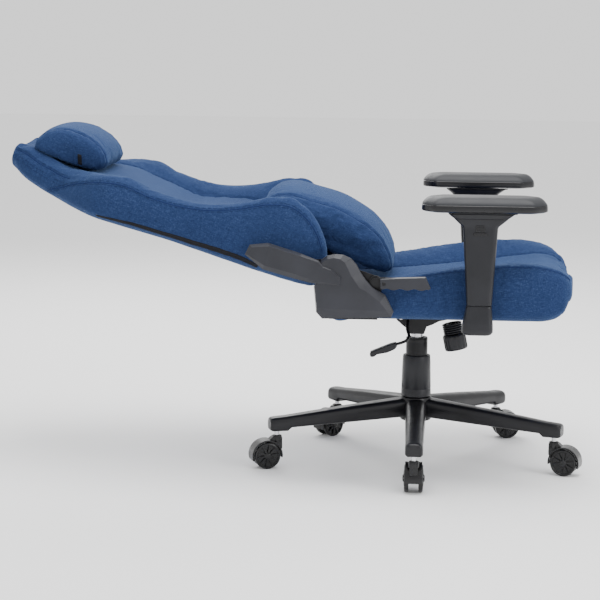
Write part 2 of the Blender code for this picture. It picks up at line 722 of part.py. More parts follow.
def make_back_cushion():
    rings = [
        back_ring(0.024, 0.240, -0.044, 0.000, 0.012, 0.150, -0.004, -0.006),
        back_ring(0.032, 0.250, -0.052, 0.022, 0.036, 0.152, 0.004, 0.002),
        back_ring(0.056, 0.257, -0.057, 0.058, 0.072, 0.156, 0.012, 0.008),
        back_ring(0.095, 0.260, -0.059, 0.092, 0.104, 0.165, 0.030, 0.026),
        back_ring(0.136, 0.261, -0.060, 0.105, 0.118, 0.168, 0.038, 0.034),
        back_ring(0.180, 0.260, -0.061, 0.094, 0.106, 0.170, 0.038, 0.034),
        back_ring(0.240, 0.257, -0.061, 0.062, 0.074, 0.170, 0.035, 0.031),
        back_ring(0.300, 0.254, -0.060, 0.036, 0.048, 0.170, 0.020, 0.017),
        back_ring(0.366, 0.254, -0.061, 0.024, 0.034, 0.170, 0.004, 0.001),
        back_ring(0.430, 0.258, -0.062, 0.022, 0.032, 0.170, 0.011, 0.008),
        back_ring(0.490, 0.262, -0.065, 0.030, 0.040, 0.170, 0.016, 0.014),
        back_ring(0.545, 0.255, -0.067, 0.018, 0.028, 0.165, 0.018, 0.016),
        back_ring(0.590, 0.220, -0.066, -0.004, 0.012, 0.150, 0.012, 0.011),
        back_ring(0.640, 0.180, -0.062, -0.022, 0.002, 0.130, 0.004, 0.006),
        back_ring(0.700, 0.155, -0.050, -0.018, 0.006, 0.110, 0.010, 0.011),
        back_ring(0.750, 0.135, -0.036, -0.004, 0.012, 0.095, 0.017, 0.018),
        back_ring(0.780, 0.118, -0.030, -0.002, 0.010, 0.080, 0.014, 0.015),
        back_ring(0.794, 0.098, -0.022, -0.010, 0.002, 0.060, 0.004, 0.005),
    ]
    return loft("back_cushion", rings, "blue_fabric")


def frame_route():
    """One half of the frame's tube: up the side, round the top corner and to the middle."""
    corner = 0.060
    centre = (FRAME_HALF_WIDTH - corner, FRAME_TOP - corner)
    half = [(FRAME_HALF_WIDTH, 0.075)] + arc(centre, corner, 0, 90, 4)
    whole = half + [(-across, up) for across, up in reversed(half)]
    return [(FRAME_DEPTH, across, up) for across, up in whole]


def back_stud(name, side, up, radius):
    start = (FRAME_DEPTH, side * FRAME_HALF_WIDTH, up)
    return cylinder(name, start, (FRAME_DEPTH, side * (PLATE_INNER + 0.010), up), radius, None, 8)


def make_back(back_holder):
    """The steel frame with its hinge plates, and the cushion moulded round it."""
    cushion = make_back_cushion()
    frame = tube("back_frame", frame_route(), FRAME_TUBE, "black_steel")
    tunnel = tube("frame_tunnel", frame_route_longer(), FRAME_TUBE + 0.0006)
    plate_low = PLATE_INNER + PLATE_THICK + 0.0010
    joined = []
    holes = [tunnel]
    for side_name, side in SIDES:
        low, high = sorted((side * plate_low, side * (plate_low + PLATE_THICK - 0.0015)))
        outline = arc((0, 0), 0.0300, 170, 395, 9)
        outline += [(0.0080, 0.0600), (-0.0080, 0.1750), (-0.0360, 0.1750)]
        hinge_plate = plate(f"back_plate_{side_name}", outline, low, high)
        joined.append(hinge_plate)
        for up in (0.095, 0.155):
            joined.append(back_stud("back_stud", side, up, STUD_RADIUS))
            holes.append(back_stud("back_stud_hole", side, up, STUD_RADIUS + 0.0006))
    rod_hole = cylinder("back_rod_hole", (0, -0.30, 0), (0, 0.30, 0), 0.0066, None, 12)
    combine(frame, "UNION", *joined, solver="MANIFOLD")
    combine(frame, "DIFFERENCE", rod_hole, solver="MANIFOLD")
    combine(cushion, "DIFFERENCE", *holes, solver="MANIFOLD")
    carry(back_holder, cushion, frame, rod_hole, *joined, *holes)


def frame_route_longer():
    """The frame's route with its ends run on, for a tunnel that leaves room at them."""
    route = frame_route()
    for end in (0, -1):
        x, y, z = route[end]
        route[end] = (x, y, z - 0.0006)
    return route


def pillow_rings(section, half_width, end_scale, end_width):
    """A pillow's section of (forward, up) points, drawn in towards its middle near both ends."""
    middle = Vector((sum(x for x, _ in section), sum(z for _, z in section))) / len(section)
    stations = [(-half_width, end_scale), (-end_width, 0.97), (0, 1.0)]
    stations += [(end_width, 0.97), (half_width, end_scale)]
    rings = []
    for across, scale in stations:
        rings.append([(*(middle + (Vector(point) - middle) * scale),) for point in section])
        rings[-1] = [(x, across, z) for x, z in rings[-1]]
    return rings


def make_pillows(back_holder):
    head = [(0.0240, 0.7490), (0.0450, 0.7520), (0.0720, 0.7330), (0.0900, 0.7050), (0.0975, 0.6770)]
    head += [(0.0960, 0.6280), (0.0850, 0.5900), (0.0660, 0.5640), (0.0480, 0.5530), (0.0300, 0.5560)]
    head += [(0.0235, 0.5850), (0.0225, 0.6500), (0.0235, 0.7100)]
    lumbar = [(0.0640, 0.2000), (0.0960, 0.2010), (0.1150, 0.1860), (0.1274, 0.1610), (0.1348, 0.0964)]
    lumbar += [(0.1347, 0.0354), (0.1252, -0.0035), (0.1120, -0.0440), (0.0978, -0.0713), (0.0717, -0.0945)]
    lumbar += [(0.0491, -0.1110), (0.0300, -0.1160), (0.0200, -0.1110), (0.0300, -0.0900), (0.0450, -0.0600)]
    lumbar += [(0.0450, 0.1850)]
    headrest = loft("headrest_pillow", pillow_rings(head, 0.132, 0.86, 0.112), "blue_fabric")
    lumbar_pillow = loft("lumbar_pillow", pillow_rings(lumbar, 0.164, 0.90, 0.140), "blue_fabric")
    carry(back_holder, headrest, lumbar_pillow)


# Armrests


def arm_ring(side, z, low_x, high_x, low_y, high_y, corner):
    """A level section of an armrest, with y measured outwards from the chair's middle."""
    return [(x, side * y, z) for x, y in cut_corners(low_x, high_x, low_y, high_y, corner)]


def make_arm_post(side_name, side, seat_holder):
    """The steel bracket and the boot round its foot. It returns the channel that the post slides in."""
    half_x, half_y = POST[0] / 2, POST[1] / 2
    post_low = (ARM_X - half_x, side * (ARM_Y - half_y), 0.3625)
    post_high = (ARM_X + half_x, side * (ARM_Y + half_y), POST_TOP)
    bracket = ordered_box(f"arm_bracket_{side_name}", post_low, post_high, "black_steel")
    foot_high = (0.150, side * (ARM_Y - 0.002), 0.3683)
    foot = ordered_box(f"arm_foot_{side_name}", (0.110, side * 0.120, 0.3625), foot_high)
    combine(bracket, "UNION", foot)

    channel_x, channel_y = half_x + 0.0006, half_y + 0.0006
    channel_low = (ARM_X - channel_x, side * (ARM_Y - channel_y), 0.330)
    channel_high = (ARM_X + channel_x, side * (ARM_Y + channel_y), 0.600)
    channel = ordered_box(f"post_channel_{side_name}", channel_low, channel_high)
    slot_high = (0.1506, side * (ARM_Y + 0.004), 0.3689)
    slot = ordered_box(f"foot_slot_{side_name}", (0.1094, side * 0.250, 0.330), slot_high)
    boot_rings = [
        arm_ring(side, 0.3460, 0.1010, 0.1590, 0.2760, 0.3100, 0.010),
        arm_ring(side, 0.3530, 0.0960, 0.1640, 0.2710, 0.3150, 0.010),
        arm_ring(side, 0.3700, 0.0975, 0.1635, 0.2710, 0.3150, 0.010),
        arm_ring(side, SLEEVE_LOW - GAP, 0.1050, 0.1600, 0.2730, 0.3120, 0.008),
    ]
    boot = loft(f"arm_boot_{side_name}", boot_rings, "arm_plastic")
    combine(boot, "DIFFERENCE", channel, slot)
    carry_in_place(seat_holder, bracket, boot, foot, slot)
    return channel


def make_arm_sleeve(side_name, side, seat_holder, channel):
    """The sleeve that slides on the post, with its head and its trigger. It returns its holder."""
    height_place = (ARM_X, side * ARM_Y, SLEEVE_LOW)
    height_holder = new_holder(f"arm_height_{side_name}", height_place, seat_holder)
    carry_in_place(seat_holder, height_holder)
    sleeve_rings = [
        arm_ring(side, SLEEVE_LOW, 0.1050, 0.1610, 0.2730, 0.3120, 0.008),
        arm_ring(side, 0.5500, 0.0990, 0.1630, 0.2715, 0.3125, 0.008),
        arm_ring(side, 0.5820, 0.0985, 0.1660, 0.2700, 0.3130, 0.008),
        arm_ring(side, 0.5980, 0.0790, 0.1890, 0.2660, 0.3150, 0.008),
        arm_ring(side, SLEEVE_HIGH, 0.0620, 0.2110, 0.2600, 0.3180, 0.008),
    ]
    sleeve = loft(f"arm_sleeve_{side_name}", sleeve_rings, "arm_plastic")
    low, high = (0.1158, side * 0.3035, 0.5613), (0.1472, side * 0.330, 0.5847)
    recess = ordered_box(f"trigger_recess_{side_name}", low, high)
    combine(sleeve, "DIFFERENCE", channel, recess)
    low, high = (0.1163, side * 0.3065, 0.5618), (0.1467, side * 0.3140, 0.5842)
    trigger = ordered_box(f"arm_trigger_{side_name}", low, high, "cover_plastic")
    carry_in_place(height_holder, sleeve, trigger, recess, channel)
    return height_holder


def make_arm_pad(side_name, side, height_holder):
    """The pad and the carrier that it slides and turns on."""
    slide_place = (PAD_X, side * PAD_Y, SLEEVE_HIGH)
    slide_holder = new_holder(f"arm_pad_slide_{side_name}", slide_place, height_holder)
    carry_in_place(height_holder, slide_holder)
    carrier_heights = (SLEEVE_HIGH + GAP, PAD_LOW - GAP)
    carrier_rings = [arm_ring(side, z, 0.0700, 0.2100, 0.2600, 0.3180, 0.006) for z in carrier_heights]
    carrier = loft(f"pad_carrier_{side_name}", carrier_rings, "arm_plastic")
    pad_rings = [
        arm_ring(side, PAD_LOW, 0.0160, 0.2640, 0.2460, 0.3340, 0.020),
        arm_ring(side, 0.6170, 0.0060, 0.2740, 0.2390, 0.3410, 0.024),
        arm_ring(side, 0.6270, 0.0060, 0.2740, 0.2390, 0.3410, 0.024),
        arm_ring(side, 0.6390, 0.0130, 0.2670, 0.2450, 0.3350, 0.022),
        arm_ring(side, PAD_HIGH, 0.0260, 0.2540, 0.2560, 0.3240, 0.018),
    ]
    pad = loft(f"arm_pad_{side_name}", pad_rings, "pad_rubber")
    carry_in_place(slide_holder, carrier, pad)


def ordered_box(name, first, second, material=None):
    """A box between any two opposite corners."""
    low = [min(pair) for pair in zip(first, second)]
    high = [max(pair) for pair in zip(first, second)]
    return box(name, low, high, material)


def main():
    make_base()
    for index in range(LEG_COUNT):
        make_caster(index)
    lift_holder = make_gas_lift()
    pin_hole = make_mechanism(lift_holder)
    make_tension_knob(lift_holder)
    make_height_lever(lift_holder)
    seat_holder = new_holder("tilt_line", TILT_PIN, lift_holder)
    carry_in_place(lift_holder, seat_holder)
    make_seat_plate(seat_holder, pin_hole)
    make_seat(seat_holder)
    back_holder = new_holder("recline_line", RECLINE_PIVOT, seat_holder, (0, -RECLINE_FROM_VERTICAL, 0))
    carry_in_place(seat_holder, back_holder)
    make_recliner(seat_holder, back_holder)
    make_recline_lever(seat_holder)
    make_back(back_holder)
    make_pillows(back_holder)
    for side_name, side in SIDES:
        channel = make_arm_post(side_name, side, seat_holder)
        height_holder = make_arm_sleeve(side_name, side, seat_holder, channel)
        make_arm_pad(side_name, side, height_holder)


main()
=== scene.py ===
"""The looks of the reclining gaming chair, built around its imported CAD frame.

Everything is in the row frame, in metres, and mm() turns the tables of millimetres into metres. The backrest
and its pillows are drawn in a frame of their own, forward, across and up from the recline axis, and RECLINE
puts them in place. Wide is half a width: everything is drawn from the chair's middle plane.
"""

import json
import math
import random

import bmesh
import bpy
import numpy as np
from mathutils import Matrix, Vector
from mathutils.bvhtree import BVHTree

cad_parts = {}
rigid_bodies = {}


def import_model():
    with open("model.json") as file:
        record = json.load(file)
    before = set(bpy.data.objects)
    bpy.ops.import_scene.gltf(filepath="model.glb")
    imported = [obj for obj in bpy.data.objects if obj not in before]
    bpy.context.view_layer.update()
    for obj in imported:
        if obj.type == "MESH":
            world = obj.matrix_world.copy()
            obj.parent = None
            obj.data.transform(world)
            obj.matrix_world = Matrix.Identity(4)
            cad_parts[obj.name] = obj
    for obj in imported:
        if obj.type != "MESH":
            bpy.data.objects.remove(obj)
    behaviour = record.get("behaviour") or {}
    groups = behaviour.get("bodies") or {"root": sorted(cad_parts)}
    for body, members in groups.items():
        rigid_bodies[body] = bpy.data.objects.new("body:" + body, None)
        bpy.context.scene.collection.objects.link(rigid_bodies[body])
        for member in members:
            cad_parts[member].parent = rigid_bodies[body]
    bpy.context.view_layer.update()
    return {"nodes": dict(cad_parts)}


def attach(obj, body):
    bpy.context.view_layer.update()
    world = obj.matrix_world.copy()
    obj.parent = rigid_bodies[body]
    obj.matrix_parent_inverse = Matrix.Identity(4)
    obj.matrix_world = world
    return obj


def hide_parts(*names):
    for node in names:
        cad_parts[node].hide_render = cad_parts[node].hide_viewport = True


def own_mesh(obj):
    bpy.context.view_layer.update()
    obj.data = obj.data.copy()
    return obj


for leftover in list(bpy.data.objects):
    bpy.data.objects.remove(leftover, do_unlink=True)

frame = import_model()
NODES = frame["nodes"]


def mm(*rows):
    return [tuple(value / 1000 for value in row) for row in rows]


def at(x, y, z):
    return Matrix.Translation((x, y, z))


def turned(degrees, axis):
    return Matrix.Rotation(math.radians(degrees), 4, axis)


COLUMN_X = 0.285
CHAIR = at(COLUMN_X, 0, 0)
RECLINE = CHAIR @ at(-0.178, 0, 0.474) @ turned(-72, "Y")
INTO_RECLINE = RECLINE.inverted()
SIDES = (("left", 1), ("right", -1))
LEG_ANGLES = [-90 + 72 * index for index in range(5)]
CASTER_TURNS = (90, -17, 12, -135, -160)
STEM_CIRCLE = 0.33
CASTER_TRAIL = 0.026
WHEEL_RADIUS = 0.03
TWO_ROWS = (-0.0045, 0.0045)
CORD_RADIUS = 0.0009


# Materials


class Nodes:
    """A new material with the few node-building calls that the materials below need."""

    def __init__(self, name, colour, roughness, metallic=0.0):
        self.material = bpy.data.materials.new(name)
        self.material.use_nodes = True
        self.tree = self.material.node_tree
        self.shader = self.tree.nodes["Principled BSDF"]
        self.set(Base_Color=(*colour, 1), Roughness=roughness, Metallic=metallic)
        self.places = self.tree.nodes.new("ShaderNodeTexCoord").outputs["Object"]

    def feed(self, socket, value):
        """Links another node's output to a socket, or sets the socket to a constant."""
        if isinstance(value, bpy.types.NodeSocket):
            self.tree.links.new(value, socket)
        else:
            socket.default_value = value

    def set(self, node=None, **values):
        """Feeds sockets by name, with _ for a space, on a node or else on the shader itself."""
        for name, value in values.items():
            self.feed((node or self.shader).inputs[name.replace("_", " ")], value)

    def node(self, kind, **values):
        node = self.tree.nodes.new("ShaderNode" + kind)
        self.set(node, **values)
        return node

    def noise(self, scale, detail=2.0, roughness=0.5, turn=0.0):
        """Noise with its own scale along each axis, turned about Y."""
        mapping = self.node("Mapping")
        mapping.vector_type = "TEXTURE"
        self.set(mapping, Vector=self.places, Rotation=(0, turn, 0), Scale=[1 / value for value in scale])
        vector = mapping.outputs["Vector"]
        texture = self.node("TexNoise", Vector=vector, Scale=1.0, Detail=detail, Roughness=roughness)
        return texture.outputs["Fac"]

    def math(self, operation, first, second):
        node = self.node("Math")
        node.operation = operation
        self.feed(node.inputs[0], first)
        self.feed(node.inputs[1], second)
        return node.outputs["Value"]

    def paint(self, factor, *stops):
        """Colours the surface by a ramp through (position, colour) stops."""
        node = self.node("ValToRGB", Fac=factor)
        while len(node.color_ramp.elements) < len(stops):
            node.color_ramp.elements.new(0.5)
        for element, (position, colour) in zip(node.color_ramp.elements, stops):
            element.position = position
            element.color = (*colour, 1)
        self.set(Base_Color=node.outputs["Color"])

    def roughen(self, factor, low, high):
        node = self.node("MapRange", Value=factor, From_Min=0.3, From_Max=0.7, To_Min=low, To_Max=high)
        self.set(Roughness=node.outputs["Result"])

    def bump(self, height, distance, strength):
        node = self.node("Bump", Height=height, Distance=distance, Strength=strength)
        self.set(Normal=node.outputs["Normal"])


def heather_fabric(name, degrees):
    """A linen-look upholstery weave: slubbed threads both ways, in several blues."""
    turn = math.radians(degrees)
    made = Nodes(name, (0.06, 0.14, 0.36), 0.92)
    slubs = [made.noise(scale, 2.5, 0.6, turn) for scale in ((95, 620, 620), (620, 620, 95), (620, 95, 620))]
    fleck = made.noise((260, 260, 260), 3.0, 0.65, turn)
    cloud = made.math("SUBTRACT", made.noise((9, 9, 9), turn=turn), 0.5)
    threads = made.math("MULTIPLY", slubs[0], 0.38)
    for texture, share in ((slubs[1], 0.27), (slubs[2], 0.17), (fleck, 0.18), (cloud, 0.1)):
        threads = made.math("ADD", threads, made.math("MULTIPLY", texture, share))
    made.paint(
        threads,
        (0.36, (0.0105, 0.0205, 0.062)),
        (0.46, (0.0165, 0.0315, 0.088)),
        (0.54, (0.022, 0.04, 0.107)),
        (0.66, (0.045, 0.074, 0.165)),
    )
    fine_warp = made.noise((500, 1500, 1500), 1.0, turn=turn)
    fine_weft = made.noise((1500, 1500, 500), 1.0, turn=turn)
    made.bump(made.math("ADD", made.math("ADD", fine_warp, fine_weft), threads), 0.0007, 0.55)
    made.set(Sheen_Weight=0.2, Sheen_Roughness=0.4, Sheen_Tint=(0.35, 0.58, 1.0, 1.0))
    made.set(Specular_IOR_Level=0.05)
    return made.material


def moulded_plastic(name, colour, roughness, grain, coat=0.0):
    """Injection-moulded plastic: fine spark-eroded grain, faint flow marks and handled patches."""
    made = Nodes(name, colour, roughness)
    low = [value * 0.86 for value in colour]
    high = [value * 1.18 + 0.002 for value in colour]
    made.paint(made.noise((14, 30, 14), 3.0), (0.32, low), (0.68, high))
    made.roughen(made.noise((40, 40, 40), 4.0, 0.6), roughness - 0.06, roughness + 0.07)
    made.bump(made.noise((1400, 1400, 1400)), grain, 0.6)
    made.set(Coat_Weight=coat, Coat_Roughness=0.12, Specular_IOR_Level=0.32)
    return made.material


def coated_steel(name, colour, roughness):
    """Powder-coated steel with a slight orange peel."""
    made = Nodes(name, colour, roughness, 0.25)
    dust = made.noise((60, 60, 60), 4.0, 0.65)
    made.roughen(dust, roughness - 0.07, roughness + 0.1)
    made.paint(dust, (0.3, [value * 0.8 for value in colour]), (0.7, colour))
    made.bump(made.noise((420, 420, 420)), 0.0002, 0.5)
    made.set(Specular_IOR_Level=0.35)
    return made.material


def polished_steel(name):
    """Bright steel with fine turning marks round it."""
    made = Nodes(name, (0.62, 0.62, 0.64), 0.2, 1.0)
    marks = made.noise((30, 30, 1800))
    made.roughen(marks, 0.14, 0.32)
    made.paint(marks, (0.3, (0.5, 0.5, 0.52)), (0.7, (0.66, 0.66, 0.68)))
    made.bump(marks, 0.00004, 0.5)
    return made.material


def soft_pad(name):
    """The armrest pads' skinned polyurethane foam, with its fine leather-like grain."""
    made = Nodes(name, (0.014, 0.015, 0.018), 0.5)
    pebbles = made.node("TexVoronoi")
    pebbles.feature = "DISTANCE_TO_EDGE"
    made.set(pebbles, Scale=620, Vector=made.places)
    wear = made.noise((25, 25, 25), 4.0, 0.6)
    made.paint(wear, (0.3, (0.012, 0.013, 0.016)), (0.7, (0.018, 0.019, 0.023)))
    made.roughen(wear, 0.42, 0.54)
    made.bump(pebbles.outputs["Distance"], 0.0002, 0.5)
    made.set(Specular_IOR_Level=0.32)
    return made.material


def plywood(name):
    made = Nodes(name, (0.42, 0.28, 0.16), 0.7)
    grain = made.noise((6, 160, 420), 4.0, 0.6)
    made.paint(grain, (0.3, (0.3, 0.18, 0.09)), (0.7, (0.52, 0.36, 0.21)))
    made.bump(grain, 0.0003, 0.5)
    return made.material


def woven_tape(name, colour):
    """Thread and tape: a tight dark weave."""
    made = Nodes(name, colour, 0.8)
    weave = made.noise((900, 900, 900))
    made.paint(weave, (0.35, colour), (0.65, [value * 1.9 + 0.004 for value in colour]))
    made.bump(weave, 0.0004, 0.6)
    made.set(Specular_IOR_Level=0.1)
    return made.material


MATERIALS = {
    "seat_fabric": heather_fabric("heather_blue_seat", -9),
    "back_fabric": heather_fabric("heather_blue_back", 18),
    "thread": woven_tape("navy_thread", (0.0045, 0.011, 0.045)),
    "cord": woven_tape("navy_seam", (0.0055, 0.014, 0.058)),
    "tape": woven_tape("grey_tape", (0.007, 0.007, 0.009)),
    "cover_plastic": moulded_plastic("cover_plastic", (0.019, 0.02, 0.026), 0.4, 0.0001),
    "arm_plastic": moulded_plastic("arm_plastic", (0.0085, 0.009, 0.012), 0.36, 0.00008),
    "rim_plastic": moulded_plastic("rim_plastic", (0.005, 0.005, 0.0065), 0.22, 0.00003, 0.15),
    "base_nylon": moulded_plastic("base_nylon", (0.005, 0.005, 0.0068), 0.34, 0.00004),
    "caster_nylon": moulded_plastic("caster_nylon", (0.004, 0.004, 0.005), 0.28, 0.00004, 0.1),
    "pad_rubber": soft_pad("pad_foam"),
    "black_steel": coated_steel("black_steel", (0.007, 0.007, 0.0085), 0.38),
    "bright_steel": polished_steel("bright_steel"),
    "plywood": plywood("plywood"),
}
SLOTS = dict.fromkeys(("seat_fabric", "back_fabric", "thread", "cord"), "blue_fabric")
SLOTS.update(tape="cover_plastic", rim_plastic="arm_plastic")


# Mesh helpers


def to_mesh(name, made, matrix=None, smooth_angle=40):
    """A mesh from a bmesh, facing outwards, smooth except over sharp edges."""
    if matrix is not None:
        made.transform(matrix)
    bmesh.ops.recalc_face_normals(made, faces=made.faces)
    mesh = bpy.data.meshes.new(name)
    made.to_mesh(mesh)
    made.free()
    mesh.shade_smooth()
    mesh.set_sharp_from_angle(angle=math.radians(smooth_angle))
    return mesh


def linked(name, data):
    obj = bpy.data.objects.new(name, data)
    bpy.context.scene.collection.objects.link(obj)
    return obj


def add_piece(name, made, material, body, *replaced, place=None, smooth=40):
    """A finished piece from a bmesh, on its CAD body, standing for the nodes it replaces."""
    obj = linked(name, to_mesh(name, made, place, smooth))
    obj.data.materials.append(MATERIALS[material])
    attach(obj, body)
    SLOTS.get(material, material)
    if replaced:
        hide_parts(*replaced)
    return obj


def thickened(obj, thickness):
    obj.modifiers.new("thickness", "SOLIDIFY").thickness = thickness


def bridge(made, rows, closed=True):
    """Quads between each row of vertices and the next, all the way round if closed."""
    for row, following in zip(rows, rows[1:]):
        for index in range(len(row) if closed else len(row) - 1):
            after = (index + 1) % len(row)
            made.faces.new((row[index], row[after], following[after], following[index]))


def circle(count):
    """The cosine and sine of evenly spaced directions."""
    angles = [math.tau * step / count for step in range(count)]
    return [(math.cos(angle), math.sin(angle)) for angle in angles]


def walked(points):
    """The distance along a line at each of its points."""
    return np.r_[0, np.cumsum(np.linalg.norm(np.diff(points, axis=0), axis=1))]


def smooth_through(knots, values, samples):
    """Values at the samples, on a smooth curve through the values at the knots."""
    knots, samples = np.asarray(knots, float), np.asarray(samples, float)
    values = np.asarray(values, float)
    steps = np.diff(knots)[:, None]
    slopes = np.diff(values, axis=0) / steps
    tangents = np.empty_like(values)
    tangents[0], tangents[-1] = slopes[0], slopes[-1]
    tangents[1:-1] = (slopes[:-1] * steps[1:] + slopes[1:] * steps[:-1]) / (steps[1:] + steps[:-1])
    index = np.clip(np.searchsorted(knots, samples, side="right") - 1, 0, len(knots) - 2)
    step = steps[index]
    t = ((samples - knots[index]) / step[:, 0])[:, None]
    start = (1 + 2 * t) * (1 - t) ** 2 * values[index] + t * (1 - t) ** 2 * step * tangents[index]
    return start + t * t * (3 - 2 * t) * values[index + 1] + t * t * (t - 1) * step * tangents[index + 1]


def smooth_path(points, spacing):
    """Evenly spaced points on a smooth curve through the given ones."""
    points = np.asarray(points, float)
    lengths = walked(points)
    fine = smooth_through(lengths, points, np.linspace(0, lengths[-1], 40 * len(points)))
    lengths = walked(fine)
    wanted = np.linspace(0, lengths[-1], max(2, round(lengths[-1] / spacing) + 1))
    return np.stack([np.interp(wanted, lengths, fine[:, axis]) for axis in range(fine.shape[1])], axis=1)


def smooth_section(half, corners, counts):
    """A half section through the given points, with corners kept at the given indices."""
    half = np.asarray(half, float)
    pieces = []
    stops = [0, *corners, len(half) - 1]
    for start, end, count in zip(stops, stops[1:], counts):
        part = half[start : end + 1]
        lengths = walked(part)
        pieces.append(smooth_through(lengths, part, np.linspace(0, lengths[-1], count + 1))[:-1])
    return np.concatenate([*pieces, half[-1:]])


def skin(rows, matrix=None):
    """A bmesh over rows of points that close on themselves, with fans over both ends."""
    made = bmesh.new()
    rings = [[made.verts.new(point) for point in row] for row in rows]
    bridge(made, rings)
    for ring in (rings[0], rings[-1]):
        middle = made.verts.new(sum((vert.co for vert in ring), Vector()) / len(ring))
        for index in range(len(ring)):
            made.faces.new((ring[index], ring[(index + 1) % len(ring)], middle))
    if matrix is not None:
        made.transform(matrix)
    bmesh.ops.recalc_face_normals(made, faces=made.faces)
    return made


def rounded_end(row, outwards, depth, steps=5):
    """Rows that close an end with a soft roll: each one further out and drawn in more."""
    middle = row.mean(axis=0)
    rows = []
    for step in range(1, steps + 1):
        angle = math.pi / 2 * step / steps
        scale = 1 - (1 - math.cos(angle)) * 0.98
        rows.append(middle + (row - middle) * scale + np.asarray(outwards) * depth * math.sin(angle))
    return rows


# Upholstery

CLOTH = dict(quality=5, mass=0.25, tension_stiffness=12, compression_stiffness=8, shear_stiffness=4)
CLOTH.update(bending_stiffness=0.4, use_pressure=True, shrink_min=-0.012, vertex_group_mass="held")
CLOTH_FRAMES = 20
SEAM_HOLD = 0.006


def cushion_rows(stations, section, spacing):
    """Rows of a cushion's skin, smooth along it and round it. A station's first number is its place."""
    places = [station[0] for station in stations]
    profiles = np.array([section(*station) for station in stations])
    count = round((places[-1] - places[0]) / spacing) + 1
    samples = np.linspace(places[0], places[-1], count)
    flat = smooth_through(places, profiles.reshape(len(places), -1), samples)
    return list(flat.reshape(count, *profiles.shape[1:]))


def whole_section(half):
    """A half section and its mirror image across the middle plane, which is the second column."""
    other = half[-2:0:-1] * np.array([1, -1, 1])
    return np.concatenate([half, other])


def skin_tree(made):
    made.normal_update()
    return BVHTree.FromBMesh(made)


def traced(tree, points, direction, spacing=0.004):
    """A smooth line thrown onto the skin along one direction, as (place, normal) pairs."""
    direction = Vector(direction).normalized()
    line = []
    for point in smooth_path(points, spacing):
        place, normal, _, _ = tree.ray_cast(Vector(point) - direction * 0.15, direction, 0.4)
        if place is not None:
            line.append((place, normal if normal.dot(direction) < 0 else -normal))
    return line


def seam_lines(made, seams):
    tree = skin_tree(made)
    return [traced(tree, points, direction) for points, direction, _ in seams]


def swollen(name, made, seams, pressure, most, fixed):
    """Blows the skin out a little as a cloth cover over its filling.

    It is held along its seams and where fixed(place) says so, and no point moves by more than most.
    """
    sewn = np.array([place for line in seam_lines(made, seams) for place, _ in line]).reshape(-1, 3)
    made.verts.index_update()
    held = []
    for vert in made.verts:
        away = np.linalg.norm(sewn - np.array(vert.co), axis=1).min(initial=math.inf)
        if away < SEAM_HOLD or fixed(vert.co):
            held.append(vert.index)
    mesh = bpy.data.meshes.new(name + "_cloth")
    made.to_mesh(mesh)
    obj = linked(name + "_cloth", mesh)
    obj.vertex_groups.new(name="held").add(held, 1.0, "REPLACE")
    cloth = obj.modifiers.new("cover", "CLOTH")
    for setting, value in CLOTH.items():
        setattr(cloth.settings, setting, value)
    cloth.settings.uniform_pressure_force = pressure
    cloth.settings.effector_weights.gravity = 0
    cloth.collision_settings.use_collision = False
    cloth.point_cache.frame_start = 1
    cloth.point_cache.frame_end = CLOTH_FRAMES
    scene = bpy.context.scene
    for number in range(1, CLOTH_FRAMES + 1):
        scene.frame_set(number)
    evaluated = obj.evaluated_get(bpy.context.evaluated_depsgraph_get())
    settled = evaluated.to_mesh()
    rest = np.array([vert.co for vert in made.verts])
    moves = np.array([vert.co for vert in settled.vertices]) - rest
    far = np.linalg.norm(moves, axis=1, keepdims=True)
    moves *= np.minimum(1.0, most / np.maximum(far, 1e-9))
    for vert, place in zip(made.verts, rest + moves):
        vert.co = place
    evaluated.to_mesh_clear()
    bpy.data.objects.remove(obj, do_unlink=True)
    scene.frame_set(1)


def sink_seams(made, lines, depth, width, seed):
    """Draws the skin in along its seams, with small irregular puckers beside them."""
    draw = random.Random(seed)
    verts = np.array([vert.co for vert in made.verts])
    normals = np.array([vert.normal for vert in made.verts])
    nearest = np.full(len(verts), 1.0)
    wave = np.zeros(len(verts))
    for line in lines:
        phases = [draw.uniform(0, math.tau) for _ in range(3)]
        for index, (place, _) in enumerate(line):
            reach = 0.004 * index
            pucker = math.sin(reach / 0.0026 + phases[0]) + 0.7 * math.sin(reach / 0.0041 + phases[1])
            pucker += 0.6 * math.sin(reach / 0.0073 + phases[2])
            away = np.linalg.norm(verts - np.array(place), axis=1)
            closer = away < nearest
            nearest[closer] = away[closer]
            wave[closer] = pucker
    groove = -depth * np.exp(-((nearest / width) ** 2))
    ruck = 0.00035 * wave * np.exp(-(((nearest - 0.009) / 0.006) ** 2))
    lift = 0.35 * depth * np.exp(-(((nearest - 2.6 * width) / (1.5 * width)) ** 2))
    for vert, move in zip(made.verts, (groove + ruck + lift)[:, None] * normals):
        vert.co += Vector(move)
    made.normal_update()


def facing_like(facing, normal):
    return facing if facing.dot(normal) >= 0 else -facing


